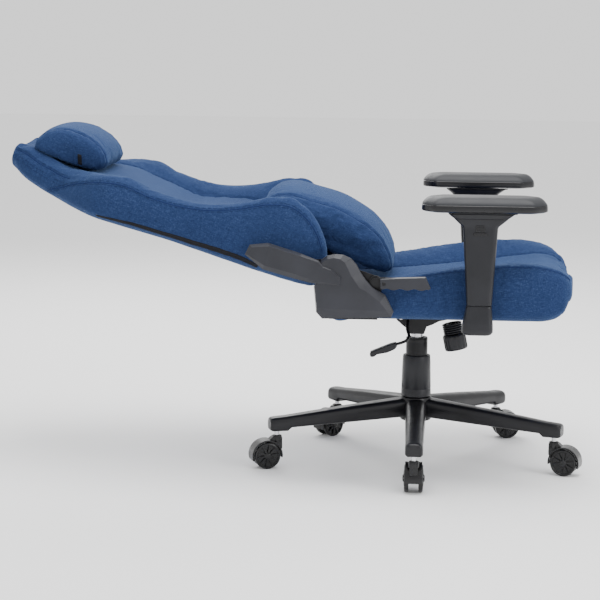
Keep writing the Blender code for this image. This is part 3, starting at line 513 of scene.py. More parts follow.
def thread_mesh(tree, runs, thickness=0.00042, length=0.0042, pitch=0.0058):
    """Stitches: short plump threads laid on the skin along each run of (place, normal) pairs."""
    made = bmesh.new()
    for run in runs:
        distance = 0.0
        for (start, normal), (end, _) in zip(run, run[1:]):
            distance += (end - start).length
            if distance < pitch:
                continue
            distance -= pitch
            along = (end - start).normalized()
            place, facing, _, _ = tree.find_nearest(start)
            facing = facing_like(facing, normal)
            side = along.cross(facing).normalized()
            middle = place + facing * thickness * 0.7
            rings = []
            for offset, size in ((-0.5, 0.45), (-0.28, 1.0), (0.28, 1.0), (0.5, 0.45)):
                centre = middle + along * length * offset - facing * thickness * (1 - size) * 0.9
                ring = [centre + (side * c + facing * s) * thickness * size for c, s in circle(4)]
                rings.append([made.verts.new(point) for point in ring])
            bridge(made, rings)
            made.faces.new(rings[0])
            made.faces.new(rings[-1])
    return made


def heading(line, index, reach=1):
    """The direction of a line of (place, normal) pairs at one of them."""
    before = line[max(index - reach, 0)][0]
    after = line[min(index + reach, len(line) - 1)][0]
    return (after - before).normalized()


def beside(line, offset):
    """A line moved sideways on the skin by an offset."""
    sideways = [heading(line, index, 2).cross(normal) for index, (_, normal) in enumerate(line)]
    return [(place + side * offset, normal) for (place, normal), side in zip(line, sideways)]


def cord_mesh(tree, lines):
    """A thin cord lying in each seam."""
    made = bmesh.new()
    for line in lines:
        rings = []
        for index, (place, normal) in enumerate(line):
            near, _, _, _ = tree.find_nearest(place)
            side = heading(line, index).cross(normal).normalized()
            centre = near + normal * CORD_RADIUS * 0.25
            ring = [centre + (side * c + normal * s) * CORD_RADIUS for c, s in circle(6)]
            rings.append([made.verts.new(point) for point in ring])
        bridge(made, rings)
    return made


def sew(body, made, node, fabric, lines, depth, width, seed):
    """Sinks a skin's seams, lays the cord in them and makes the two pieces."""
    sink_seams(made, lines, depth, width, seed)
    tree = skin_tree(made)
    cover = add_piece(f"{body}_cover", made, fabric, body, node, smooth=75)
    cord = add_piece(f"{body}_cover_seam_cord", cord_mesh(tree, lines), "cord", body, smooth=80)
    return tree, cover, cord


def upholster(body, made, seams, seed):
    """The cover of the seat or the backrest, with its rows of stitches.

    A seam is (points, direction, offsets of its rows of stitches).
    """
    lines = seam_lines(made, seams)
    tree, _, _ = sew(body, made, f"{body}_cushion", f"{body}_fabric", lines, 0.0016, 0.003, seed)
    runs = [beside(line, offset) for line, (_, _, offsets) in zip(lines, seams) for offset in offsets]
    add_piece(f"{body}_cover_stitches", thread_mesh(tree, runs), "thread", body, smooth=80)
    return tree


# Seat cushion


def seat_section(x, low, wide, seam, bolster, inner, middle):
    half = [(0, low), (0.15, low), (wide - 0.022, low), (wide - 0.004, low + 0.01)]
    half += [(wide, (low + seam) / 2), (wide - 0.002, seam - 0.01), (wide - 0.014, seam)]
    half += [(wide - 0.045, bolster), (0.185, (bolster + inner) / 2 + 0.005), (0.15, inner)]
    half += [(0.08, middle + 0.001), (0, middle)]
    half = smooth_section(half, (6, 9), (34, 26, 26))
    return whole_section(np.c_[np.full(len(half), x), half[:, 0], half[:, 1]])


SEAT_STATIONS = mm(
    (-200, 379, 236, 418, 423, 408, 406),
    (-190, 371.2, 248, 433, 438, 418, 416),
    (-130, 370, 256, 444, 449, 423, 422),
    (-50, 370, 258, 456, 459, 430, 429),
    (100, 370, 258, 480, 483, 446, 445),
    (200, 370, 258, 489, 491, 460, 456),
    (250, 370, 257, 489.5, 490.5, 467, 463),
    (275, 370.4, 256, 486, 487, 469.5, 466),
    (292, 373.5, 254, 482, 483, 469, 465.5),
    (308, 380, 250, 476.5, 477.5, 466, 462.5),
    (321, 393, 243, 469, 470, 461, 457.5),
    (330, 412, 233, 460, 461, 453, 450),
)


def make_seat():
    rows = cushion_rows(SEAT_STATIONS, seat_section, 0.0045)
    rows = rounded_end(rows[0], (-1, 0, 0), 0.004)[::-1] + rows + rounded_end(rows[-1], (1, 0, 0), 0.01, 8)
    made = skin(rows, CHAIR)
    seams = []
    for _, side in SIDES:
        outer, inner_line = [], []
        for x, _, wide, seam, _, inner, _ in SEAT_STATIONS:
            outer.append((COLUMN_X + x, side * wide, seam - 0.002))
            inner_line.append((COLUMN_X + x, side * 0.15, inner))
        seams.append((outer, (0, -side, 0), TWO_ROWS))
        seams.append((inner_line[2:], (0, 0, -1), TWO_ROWS))
    swollen("seat", made, seams, 3.0, 0.0035, lambda place: place.z < 0.385 or place.x < COLUMN_X - 0.17)
    upholster("seat", made, seams, 3)


# Backrest


def back_section(up, wide, rear, side_front, crest, inner_y, inner, middle):
    half = [(0, rear - 0.003), (0.6 * wide, rear - 0.001), (wide - 0.024, rear + 0.003)]
    half += [(wide - 0.004, rear + 0.015), (wide, (rear + side_front) / 2 + 0.004)]
    half += [(wide - 0.002, side_front), (wide - 0.015, crest)]
    half += [((wide - 0.016 + inner_y) / 2, (crest + inner) / 2 + 0.005), (inner_y, inner)]
    half += [(inner_y / 2, middle), (0, middle)]
    half = smooth_section(half, (5, 8), (40, 24, 24))
    return whole_section(np.c_[half[:, 1], half[:, 0], np.full(len(half), up)])


BACK_STATIONS = mm(
    (24, 238, -44, 0, 10, 150, -4, -6),
    (36, 248, -52, 26, 38, 152, 5, 3),
    (60, 255, -56, 60, 73, 156, 13, 9),
    (95, 258, -58, 90, 103, 165, 30, 26),
    (136, 259, -59, 104, 117, 168, 38, 34),
    (180, 258, -60, 93, 106, 170, 38, 34),
    (240, 256, -60, 62, 74, 170, 35, 31),
    (300, 254, -60, 37, 49, 170, 20, 17),
    (366, 254, -60, 24, 35, 170, 4, 1),
    (430, 257, -62, 22, 34, 170, 11, 8),
    (490, 259, -64, 29, 41, 170, 16, 14),
    (545, 252, -66, 17, 29, 165, 18, 16),
    (590, 222, -66, -3, 12, 150, 12, 11),
    (640, 182, -64, -16, 4, 130, 4, 6),
    (690, 158, -58, -12, 8, 112, 10, 11),
    (735, 140, -47, -1, 17, 98, 17, 16),
    (763, 124, -34, -1, 15, 85, 14, 14),
)
SHOULDER_SEAM = mm(
    (-54, 664), (-41.6, 648.6), (-30.4, 629.9), (-17.7, 612.8), (-2.4, 585.6), (10, 560), (20, 530),
    (26, 495), (20, 430), (22.5, 366), (35.5, 300), (60, 240), (90, 180), (100, 136), (87, 95), (58, 60),
    (30, 40),
)
HEAD_SEAM = mm(
    (6, 766), (7, 755), (5.5, 736), (-2, 702.4), (-6, 668.6), (-9, 640.3), (-6, 620),
)
TAPE_LINE = mm(
    (-56.8, 532), (-48.4, 454.9), (-46.3, 377.7), (-43.4, 300.8), (-41.1, 243.1), (-41.8, 200.3),
    (-46.7, 163.4),
)
TAPE_ROW = ((-1, -0.0004), (-0.92, 0.0009), (-0.12, 0.0011), (0, 0.0004), (0.12, 0.0011))
TAPE_ROW += ((0.92, 0.0009), (1, -0.0004))


def in_back(points):
    """Points of the backrest's own frame, in the row frame."""
    return [tuple(RECLINE @ Vector(point)) for point in points]


def make_tape(tree, hand, side):
    """The grey tape that covers the zip between the side panel and the rear panel."""
    line = traced(tree, in_back([(v, side * 0.3, u) for v, u in TAPE_LINE]), (0, -side, 0), 0.006)
    made = bmesh.new()
    rows = []
    for index, (place, normal) in enumerate(line):
        wide = 0.0036 + 0.003 * min(1.0, index / (len(line) - 1) * 2.2)
        across = heading(line, index).cross(normal).normalized()
        verts = []
        for offset, raised in TAPE_ROW:
            near, facing, _, _ = tree.find_nearest(place + across * wide * offset)
            verts.append(made.verts.new(near + facing_like(facing, normal) * raised))
        rows.append(verts)
    bridge(made, rows, closed=False)
    thickened(add_piece(f"back_zip_tape_{hand}", made, "tape", "back", smooth=60), 0.0008)


def make_back():
    rows = cushion_rows(BACK_STATIONS, back_section, 0.0048)
    rows = rounded_end(rows[0], (0, 0, -1), 0.004)[::-1] + rows + rounded_end(rows[-1], (0, 0, 1), 0.016, 8)
    made = skin(rows, RECLINE)
    rearward = tuple(RECLINE.to_3x3() @ Vector((-1, 0, 0)))
    seams = []
    for _, side in SIDES:
        sideways = (0, -side, 0)
        seams.append((in_back([(v, side * 0.3, u) for v, u in SHOULDER_SEAM]), sideways, TWO_ROWS))
        head = in_back([(v, side * 0.3, u) for v, u in HEAD_SEAM])
        seams.append((head, sideways, (*TWO_ROWS, 0.013, 0.021)))
        inner = [(0.169, up) for up in np.linspace(0.06, 0.535, 12)]
        inner += [(0.158, 0.57), (0.128, 0.6), (0.08, 0.622), (0, 0.632)]
        seams.append((in_back([(0.2, side * y, up) for y, up in inner]), rearward, TWO_ROWS))

    def fixed(place):
        local = INTO_RECLINE @ place
        return local.x < -0.035 or local.z < 0.03 or local.z > 0.785

    swollen("back", made, seams, 3.0, 0.0035, fixed)
    tree = upholster("back", made, seams, 5)
    for hand, side in SIDES:
        make_tape(tree, hand, side)


# Pillows


HEAD_PILLOW = mm(
    (24, 729), (40, 730), (64, 717), (83, 695), (91.5, 670), (91.5, 630), (82, 596), (64, 570), (44, 561),
    (27, 568), (16, 605), (15, 660), (19, 708),
)
LUMBAR_PILLOW = mm(
    (60, 200), (90, 200), (110, 185), (122.5, 161), (130, 96.4), (131, 35.4), (123, -3.5), (111, -42),
    (96, -70), (71, -95), (45, -113), (26, -119), (14, -110), (9, -85), (9, -50), (13, -15), (15, 25),
    (23, 60), (38, 95), (45, 136), (45, 175),
)
PILLOW_SEAM_SCALE = 0.972


def smooth_closed(outline, count):
    """Points on a smooth closed curve through the outline's points."""
    wrapped = np.array(outline[-3:] + outline + outline[:3])
    lengths = np.r_[0, np.cumsum(np.linalg.norm(np.diff(wrapped, axis=0), axis=1))]
    start, end = lengths[3], lengths[3 + len(outline)]
    return smooth_through(lengths, wrapped, np.linspace(start, end, count + 1)[:-1])


def nearest_line(tree, points):
    """A line of local backrest points moved onto the skin."""
    nearest = [tree.find_nearest(RECLINE @ Vector(point)) for point in smooth_path(points, 0.004)]
    return [(place, normal) for place, normal, _, _ in nearest]


def make_pillow(body, outline, wide, panel, rear, crown, seed):
    """A boxed pillow: a band round its section, and an end panel sewn in at each side.

    It is thickest in the middle, by a share crown over its ends, measured from the plane rear.
    """
    closed = smooth_closed(outline, 96)
    middle = closed.mean(axis=0)
    seam_at = wide - panel

    def section(y, scale):
        flat = middle + (closed - middle) * scale
        flat[:, 0] = rear + (flat[:, 0] - rear) * (1 - crown * (abs(y) / wide) ** 2)
        return np.c_[flat[:, 0], np.full(len(flat), y), flat[:, 1]]

    def fixed(place):
        local = INTO_RECLINE @ place
        return abs(abs(local.y) - seam_at) < 0.003 or local.x < rear + 0.004

    across = [(0, 1.0), (seam_at * 0.5, 0.999), (seam_at * 0.85, 0.993), (seam_at - 0.006, 0.985)]
    across += [(seam_at, PILLOW_SEAM_SCALE), (seam_at + panel * 0.45, 0.93), (seam_at + panel * 0.8, 0.84)]
    across += [(seam_at + panel * 0.96, 0.62), (wide, 0.3), (wide, 0.05)]
    fine = []
    for (start, first), (end, second) in zip(across, across[1:]):
        count = max(2, round((abs(end - start) + 0.12 * abs(first - second)) / 0.004))
        for step in range(count):
            share = step / count
            fine.append((start + (end - start) * share, first + (second - first) * share))
    fine.append(across[-1])
    fine = [(-y, scale) for y, scale in fine[:0:-1]] + fine
    made = skin([section(y, scale) for y, scale in fine], RECLINE)
    swollen(body, made, (), 4.0, 0.004, fixed)
    rings = [section(side * seam_at, PILLOW_SEAM_SCALE) for _, side in SIDES]
    tree = skin_tree(made)
    lines = [nearest_line(tree, [Vector(point) for point in (*ring, ring[0])]) for ring in rings]
    return sew(body, made, f"{body}_pillow", "back_fabric", lines, 0.002, 0.0032, seed)


def make_pillows():
    tree, _, _ = make_pillow("headrest", HEAD_PILLOW, 0.134, 0.02, 0.016, 0.1, 7)
    _, *sliding = make_pillow("lumbar", LUMBAR_PILLOW, 0.166, 0.022, 0.045, 0.2, 9)
    for piece in sliding:
        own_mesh(piece)
    corners = in_back([(v, -0.14, u) for v, u in mm((44, 628), (44, 619), (22, 612), (22, 621))])
    outer_top, outer_low, inner_low, inner_top = [Vector(corner) for corner in corners]
    made = bmesh.new()
    grid = []
    for row in range(7):
        left = outer_top.lerp(inner_top, row / 6)
        right = outer_low.lerp(inner_low, row / 6)
        points = [left.lerp(right, column / 3) for column in range(4)]
        places = [tree.ray_cast(point, Vector((0, 1, 0)), 0.1)[0] for point in points]
        grid.append([made.verts.new(place + Vector((0, -0.001, 0))) for place in places])
    bridge(made, grid, closed=False)
    thickened(add_piece("headrest_strap_tab", made, "tape", "headrest"), 0.0014)


# Hard parts


def rounded(obj, width, segments, angle):
    bevel = obj.modifiers.new("edges", "BEVEL")
    bevel.width = width
    bevel.segments = segments
    bevel.limit_method = "ANGLE"
    bevel.angle_limit = math.radians(angle)
    bevel.harden_normals = True


def prism(outline, low, high, flat=False):
    """A bmesh of an outline raised from low to high, across the chair, or upwards if flat."""
    made = bmesh.new()
    lower, upper = [
        [made.verts.new((a, b, c) if flat else (a, c, b)) for a, b in outline] for c in (low, high)
    ]
    made.faces.new(lower[::-1])
    made.faces.new(upper)
    bridge(made, (lower, upper))
    return made


def lathe(profile, steps, wave=None):
    """A bmesh of (radius, height) points in mm turned about Z. wave scales a radius by angle and height."""
    made = bmesh.new()
    rings = []
    for radius, height in mm(*profile):
        ring = []
        for step in range(steps):
            angle = math.tau * step / steps
            r = radius * (wave(angle, height) if wave and radius > 0.001 else 1.0)
            ring.append(made.verts.new((r * math.cos(angle), r * math.sin(angle), height)))
        rings.append(ring)
    bridge(made, rings)
    bmesh.ops.remove_doubles(made, verts=made.verts, dist=1e-6)
    return made


def joined(*parts):
    """Several bmeshes in one."""
    whole = bmesh.new()
    for part in parts:
        mesh = bpy.data.meshes.new("part")
        part.to_mesh(mesh)
        part.free()
        whole.from_mesh(mesh)
        bpy.data.meshes.remove(mesh)
    return whole


def moved(made, matrix):
    made.transform(matrix)
    return made


def arc(centre, radius, start, end, count):
    angles = [math.radians(start + (end - start) * step / count) for step in range(count + 1)]
    return [(centre[0] + radius * math.cos(a), centre[1] + radius * math.sin(a)) for a in angles]


def soft_corners(points, radius, steps=4):
    """An outline with each of its corners rounded off by up to a radius."""
    result = []
    count = len(points)
    for index in range(count):
        here = Vector(points[index])
        before, after = Vector(points[index - 1]), Vector(points[(index + 1) % count])
        back, on = before - here, after - here
        reach = min(radius, 0.45 * back.length, 0.45 * on.length)
        start, end = here + back.normalized() * reach, here + on.normalized() * reach
        for step in range(steps + 1):
            t = step / steps
            result.append(tuple(start * (1 - t) ** 2 + here * 2 * t * (1 - t) + end * t * t))
    return result


def bar(route, radius, sides=14, spacing=0.003):
    """A round bar along a smooth route."""
    points = smooth_path(route, spacing)
    rows = []
    side = Vector((0, 1, 0))
    for index, point in enumerate(points):
        along = Vector(points[min(index + 1, len(points) - 1)] - points[max(index - 1, 0)]).normalized()
        side = (side - along * side.dot(along)).normalized()
        up = along.cross(side)
        rows.append([Vector(point) + (side * c + up * s) * radius for c, s in circle(sides)])
    return skin(rows)


LEG = mm(
    (12, 24.5, 108, 151),
    (36, 24, 107, 150),
    (180, 21.5, 99, 134.5),
    (298, 19.5, 92.5, 120),
    (303.5, 19.5, 88, 119.5),
    (307, 19.7, 85, 119),
    (338, 19.5, 85, 116.5),
    (343, 18.8, 85.5, 115.7),
    (346.5, 17, 86.8, 114),
    (347.8, 15.2, 88.5, 112),
)
HUB = ((26.2, 98), (34, 98), (35.8, 100), (37.2, 130), (36.8, 148), (35.5, 151), (33.5, 152.2))
HUB += ((26.2, 152.2), (26.2, 98))
SHROUD = ((26.2, 153.5), (33, 153.2), (34.6, 154.5), (34.2, 170), (33.6, 171.2), (33.7, 172.2), (34.1, 173))
SHROUD += ((32.6, 230), (31.6, 246.5), (30.6, 248.6), (29, 249.1), (25.8, 249))
TUBE = ((0, 99.6), (23, 99.6), (25, 101), (25, 279), (24.7, 280.6), (25, 282.2), (25, 288), (24, 289.9))
TUBE += ((15, 290), (14.7, 289), (14.7, 260))


def leg_section(x, wide, low, high):
    """Across a leg: a flat underside, sloping sides and a crowned top."""
    rise = high - low
    half = [(0, low), (wide - 0.004, low), (wide, low + 0.004), (wide, low + 0.6 * rise)]
    half += [(0.88 * wide, low + 0.84 * rise), (0.6 * wide, low + 0.965 * rise), (0, high)]
    points = half + [(-y, z) for y, z in half[-2:0:-1]]
    return [(x, y, z) for y, z in soft_corners(points, 0.004, 3)]


def make_base():
    leg = [leg_section(*row) for row in LEG]
    star = [moved(skin(leg), turned(angle, "Z")) for angle in LEG_ANGLES]
    star.append(lathe(HUB, 64))
    add_piece("star_base", joined(*star), "base_nylon", "base", "base_star", place=CHAIR, smooth=32)
    shroud, tube = lathe(SHROUD, 72), lathe(TUBE, 72)
    add_piece("lift_shroud", shroud, "arm_plastic", "base", "column_cover", place=CHAIR, smooth=35)
    add_piece("lift_tube", tube, "black_steel", "base", "gas_outer_tube", place=CHAIR, smooth=35)


TYRE = ((30, 12.5), (30, 18), (29.3, 19.7), (27.6, 20.6), (25.2, 20.6), (24.6, 20), (24.3, 17.6), (10, 17.2))
TYRE += ((4.7, 17.2), (4.7, 10.6), (27.6, 10.6), (29.3, 11.1), (30, 12.5))
WHEEL_CAP = ((0, 24.3), (5.2, 24.3), (6.8, 23.8), (8, 22.6), (8.6, 20.5), (9.2, 17.3))
SPOKE = mm((8, -2.2), (24.8, -1.4), (24.8, 1.4), (8, 2.2))
SPOKES = 10
HOOD = mm((37.5, 42), (32, 54.5), (19, 65), (12, 71.2), (9, 72.2), (-8, 72.2), (-10.5, 70.5))
HOOD += mm((-10.8, 44), (8, 28))
COLLAR = ((0, 74.4), (9.5, 74.4), (11, 73.5), (11.7, 70), (11.7, 60), (0, 60))
AXLE_PIN = ((0, -21.2), (3.8, -21.2), (3.8, 21.2), (0, 21.2))


def caster_wheel(side):
    """A wheel with a rounded tread, a rim, spokes over a dark web, and a hub cap."""
    parts = [lathe(TYRE, 60), lathe(WHEEL_CAP, 40)]
    for spoke in range(SPOKES):
        arm = prism(SPOKE, 0.017, 0.0203, flat=True)
        for vert in arm.verts:
            if vert.co.z > 0.018 and vert.co.x < 0.015:
                vert.co.z = 0.0222
        parts.append(moved(arm, Matrix.Rotation(math.tau * spoke / SPOKES + 0.16, 4, "Z")))
    return moved(joined(*parts), turned(-90 * side, "X"))


def caster_hood():
    """The body between the wheels and the fender over them."""
    axle = (CASTER_TRAIL, WHEEL_RADIUS)
    body = prism(soft_corners(arc(axle, 0.0115, -120, 20, 6) + HOOD, 0.002, 2), -0.0092, 0.0092)
    fender = arc(axle, 0.0358, -18, 188, 44) + arc(axle, 0.0324, 188, -18, 44)
    pin = moved(lathe(AXLE_PIN, 20), at(CASTER_TRAIL, 0, WHEEL_RADIUS) @ turned(90, "X"))
    return joined(body, prism(fender, -0.0186, 0.0186), lathe(COLLAR, 32), pin)


def make_casters():
    for index, (angle, turn) in enumerate(zip(LEG_ANGLES, CASTER_TURNS)):
        caster = f"caster_{index + 1}"
        angle = math.radians(angle)
        stem = at(STEM_CIRCLE * math.cos(angle), STEM_CIRCLE * math.sin(angle), 0)
        place = CHAIR @ stem @ turned(turn, "Z")
        name, node = f"{caster}_body", f"{caster}_hood"
        hood = add_piece(name, caster_hood(), "caster_nylon", caster, node, place=place, smooth=35)
        rounded(hood, 0.0007, 2, 40)
        axle = place @ at(CASTER_TRAIL, 0, WHEEL_RADIUS)
        for hand, side in SIDES:
            name, body, node = [f"{caster}{part}_{hand}" for part in ("_tyre", "", "_wheel")]
            wheel = add_piece(name, caster_wheel(side), "caster_nylon", body, node, place=axle, smooth=35)
            rounded(wheel, 0.0003, 1, 50)


KNOB = ((0, 18.5), (21.5, 18.5), (24.5, 17.8), (26.2, 15.5), (26.8, 12), (26.8, -13), (26.2, -16))
KNOB += ((24.6, -18), (20, -18.8), (19, -17.8), (0, -17.8))
BELLOWS_RIB = ((20.2, 0), (22.6, -1), (23.1, -2.2), (22.4, -3.4), (20, -4.3))
LEVER_WIRE = mm((-21, -47, 338), (-21, -60, 337), (-22, -85, 322), (-18, -108, 306))
LEVER_WIRE += mm((-23, -118, 301), (-52, -122, 290.5))
PADDLE = mm((-103.5, 264), (-104.5, 274.5), (-95, 278.5), (-60, 293.5), (-45.5, 297.5))
PADDLE += mm((-42.5, 290), (-48, 282.5), (-65, 274.5), (-88, 270), (-95, 264))


def flutes(angle, height):
    depth = 0.045 if abs(height) < 0.0135 else 0.012
    return 1.0 - depth * (0.5 + 0.5 * math.cos(14 * angle)) ** 3


def make_underseat():
    place = CHAIR @ at(0.088, 0, 0.281) @ turned(-12, "Y")
    made = lathe(KNOB, 168, flutes)
    add_piece("tilt_knob", made, "arm_plastic", "tension_knob", "tension_knob", place=place)
    bellows = [(18, 44)]
    for top in (44, 39, 34, 29, 24):
        bellows += [(radius, top + drop) for radius, drop in BELLOWS_RIB]
    bellows += [(19.8, 19.2), (18.2, 19.2), (18, 44)]
    made = lathe(bellows, 64)
    add_piece("spring_bellows", made, "arm_plastic", "mechanism", "spring_boot", place=place, smooth=60)
    wire = bar(LEVER_WIRE, 0.0034)
    add_piece("height_wire", wire, "black_steel", "height_lever", "height_lever_rod", place=CHAIR, smooth=60)
    made = prism(soft_corners(PADDLE, 0.004), -0.1348, -0.1112)
    paddle = add_piece("height_paddle", made, "arm_plastic", "height_lever", "height_lever_grip", place=CHAIR)
    rounded(paddle, 0.0022, 4, 30)


# Hinge covers and recline lever


SEAT_COVER_RIM = mm(
    (-208, 501), (-194.5, 510.5), (-177.3, 514), (-160, 513), (-142.8, 505.5), (-130.3, 491.4), (-123, 477),
    (-111, 460), (-95.1, 443), (-68, 426.8), (-50, 392), (-55, 378.5), (-204, 373.5), (-217, 387.5),
    (-222.5, 442),
)
SEAT_COVER_FACE = mm(
    (-206, 496), (-194, 504.5), (-179, 507.5), (-166, 505), (-156, 497.5), (-148.6, 483.6), (-142.3, 470),
    (-123.4, 442.5), (-112.4, 438), (-79, 413), (-64, 395), (-66, 394.5), (-204, 397.5), (-215, 398.5),
    (-219.5, 441.5),
)
BACK_COVER_RIM = mm(
    (-25.2, 196), (-2.5, 192.5), (14, 156), (15.5, 81.2), (15.5, 40), (6.6, 27), (6.4, 9.9), (-2.7, -17.5),
    (-20.9, -20.3), (-35.5, 39), (-40, 76.2), (-43, 149.5),
)
BACK_COVER_FACE = mm(
    (-24, 189), (-5, 186), (10.5, 150), (12, 81.2), (12, 41.5), (4.6, 27.5), (4.4, 10), (-4, -15),
    (-19.5, -17.8), (-28.5, 38), (-28, 76.2), (-32.5, 148),
)
SEAT_COVER_PANELS = [range(len(SEAT_COVER_RIM))]
BACK_COVER_PANELS = [(0, 1, 2, 11), (2, 3, 10, 11), (3, 4, 9, 10), (4, 5, 6, 7, 8, 9)]
BACK_COVER_TOPS = (293, 294, 303, 303.8, 303.6, 303.2, 303.6, 303.4, 303.4, 303.8, 303.8, 303)
GRIP_TOP = mm((-79, 443), (-80, 463), (-40, 465.5), (18, 468), (29, 444.5), (24, 440.8))
GRIP_WAVE = [0.024 - step * 0.0024 for step in range(1, 42)]
SCREW = ((0, 0.8), (1.6, 1), (2.2, 0.6), (3.4, 1), (4.2, 0.2), (4.2, -1))


def faceted_cover(side, outlines, levels, panels):
    """A cover with a wall, a bevelled border between its rim and its face, and the face's flat panels.

    outlines and levels, the distances in mm from the chair's middle, are those of the wall's foot, of the rim
    and of the face.
    """
    made = bmesh.new()
    loops = [
        [made.verts.new((a, side * level / 1000, b)) for (a, b), level in zip(outline, row)]
        for outline, row in zip(outlines, levels)
    ]
    bridge(made, loops)
    for panel in panels:
        made.faces.new([loops[-1][index] for index in panel])
        made.faces.new([loops[0][index] for index in panel][::-1])
    return made


def make_hinges():
    seat_levels = [[level] * len(SEAT_COVER_RIM) for level in (280.6, 288.5, 299.8)]
    foot = [280.8 if up > 0.05 else 300.3 for _, up in BACK_COVER_RIM]
    edge = [288 if up > 0.15 else 292.5 if up > 0.05 else 300.8 for _, up in BACK_COVER_RIM]
    seat = (SEAT_COVER_RIM, SEAT_COVER_RIM, SEAT_COVER_FACE), seat_levels, SEAT_COVER_PANELS
    back = (BACK_COVER_RIM, BACK_COVER_RIM, BACK_COVER_FACE), (foot, edge, BACK_COVER_TOPS), BACK_COVER_PANELS
    for hand, side in SIDES:
        for body, cover, place, smooth, width, angle in (
            ("seat", seat, CHAIR, 18, 0.0009, 15),
            ("back", back, RECLINE, 8, 0.0008, 9),
        ):
            name, node = f"hinge_shell_{body}_{hand}", f"hinge_cover_{body}_{hand}"
            made = faceted_cover(side, *cover)
            shell = add_piece(name, made, "cover_plastic", body, node, place=place, smooth=smooth)
            rounded(shell, width, 2, angle)


def make_recline_lever():
    lower = [(x, 0.4412 + 0.0016 * math.cos((x + 0.066) * math.tau / 0.03)) for x in GRIP_WAVE]
    made = prism(GRIP_TOP + lower, -0.2988, -0.2782)
    grip = add_piece(
        "recline_handle", made, "cover_plastic", "recline_lever", "recline_lever_grip", place=CHAIR, smooth=35
    )
    rounded(grip, 0.0022, 3, 40)
    place = CHAIR @ at(-0.0715, -0.2986, 0.453) @ turned(90, "X")
    add_piece("recline_handle_screw", lathe(SCREW, 28), "black_steel", "recline_lever", place=place)


# Armrests


ARM_BOOT = mm(
    (346.2, 106, 155, 281, 306, 10),
    (348, 100, 160, 275, 311, 10),
    (353, 96.5, 163.6, 271.4, 314.6, 10),
    (360, 96.5, 163.8, 271.2, 314.8, 10),
    (372, 98, 163.2, 271.4, 314.6, 9),
    (395, 103, 160.8, 272.6, 312.6, 8),
    (408.5, 105, 160, 273.2, 311.8, 8),
    (410, 106, 159, 274.2, 310.8, 8),
)
ARM_SLEEVE = mm(
    (410.6, 107, 158.8, 274.2, 310.8, 8),
    (412, 105.8, 160, 273, 312, 8),
    (576, 95, 169.5, 271.6, 312.8, 8),
    (581, 93.8, 171.2, 270.4, 313.2, 8),
    (586.5, 87, 178, 269, 313.8, 8),
    (597, 76.2, 190.5, 266.6, 315, 8),
)
ARM_HEAD = mm(
    (597.2, 77.2, 189.5, 267.6, 314, 8),
    (597.8, 77.2, 189.5, 267.6, 314, 8),
    (598.2, 75, 191.7, 265.8, 315.2, 8),
    (607.2, 63.5, 204, 260.2, 317.9, 8),
    (608, 64.7, 202.8, 261.2, 317, 8),
)
PAD_RIM = mm((612.2, 8.5), (613, 5.5), (615, 1.2), (618, 0.4), (627.2, 1), (628, 1.8))
PAD_TOP = mm((627.6, 3.4), (628.4, 1.8), (630, 2.2), (635, 6), (639.5, 10.5), (642.5, 15), (644, 18.5))
PAD_TOP += mm((644.7, 21.5), (645, 24))
BUTTON = mm((121.5, 570.5), (141.5, 570.5), (141.5, 583.8), (121.5, 583.8))
BUTTON_LIP = mm((116, 562.2), (147, 562.2), (145.5, 568.5), (117.5, 568.5))


def arm_section(side, z, low_x, high_x, low_y, high_y, corner):
    points = [(low_x, low_y), (high_x, low_y), (high_x, high_y), (low_x, high_y)]
    return [(x, side * y, z) for x, y in soft_corners(points, corner * 1.6, 7)]


def stacked(side, table, spacing=0.003):
    """A skin over an arm's sections, straight from one to the next."""
    shapes = np.array([arm_section(side, *row) for row in table])
    rows = []
    for start, end in zip(shapes, shapes[1:]):
        count = max(1, round(np.linalg.norm(end - start, axis=1).max() / spacing))
        rows += [start + (end - start) * step / count for step in range(count)]
    return skin([*rows, shapes[-1]])


def pad_section(side, z, inset):
    """Across an arm pad at one height: a long slab with cut and softened corners."""
    low_x, high_x, low_y, high_y = 0.006 + inset, 0.274 - inset, 0.239 + inset, 0.341 - inset
    cut = 0.026
    points = [(low_x + cut, low_y), (high_x - cut, low_y), (high_x, low_y + cut), (high_x, high_y - cut)]
    points += [(high_x - cut, high_y), (low_x + cut, high_y), (low_x, high_y - cut), (low_x, low_y + cut)]
    return [(x, side * y, z) for x, y in soft_corners(points, 0.01, 6)]


def arm_button(side):
    """The button in the sleeve's outer face, with ribs for the finger, and its lip."""
    blocks = [(soft_corners(BUTTON, 0.003), 0.307, 0.3146), (soft_corners(BUTTON_LIP, 0.003), 0.307, 0.3154)]
    for z in (0.5728, 0.576, 0.5792):
        rib = [(0.1235, z), (0.1395, z), (0.1395, z + 0.0014), (0.1235, z + 0.0014)]
        blocks.append((soft_corners(rib, 0.0006, 3), 0.3144, 0.3152))
    return joined(*[prism(outline, side * low, side * high) for outline, low, high in blocks])


def make_arms():
    for hand, side in SIDES:

        def add(name, made, material, body, *replaced, smooth=40):
            replaced = [f"{node}_{hand}" for node in replaced]
            return add_piece(f"{name}_{hand}", made, material, body, *replaced, place=CHAIR, smooth=smooth)

        add("arm_foot_cover", stacked(side, ARM_BOOT), "arm_plastic", "seat", "arm_boot")
        made = joined(stacked(side, ARM_SLEEVE), stacked(side, ARM_HEAD, 0.002))
        add("arm_column", made, "arm_plastic", f"arm_height_{hand}", "arm_sleeve")
        made = arm_button(side)
        button = add("arm_button", made, "rim_plastic", f"arm_trigger_{hand}", "arm_trigger", smooth=35)
        rounded(button, 0.0004, 2, 40)
        rim, top = [skin([pad_section(side, *row) for row in table]) for table in (PAD_RIM, PAD_TOP)]
        add("arm_pad_rim", rim, "rim_plastic", f"arm_pad_{hand}")
        pad = add("arm_pad_top", top, "pad_rubber", f"arm_pad_{hand}", "arm_pad", smooth=60)


# CAD nodes that stay


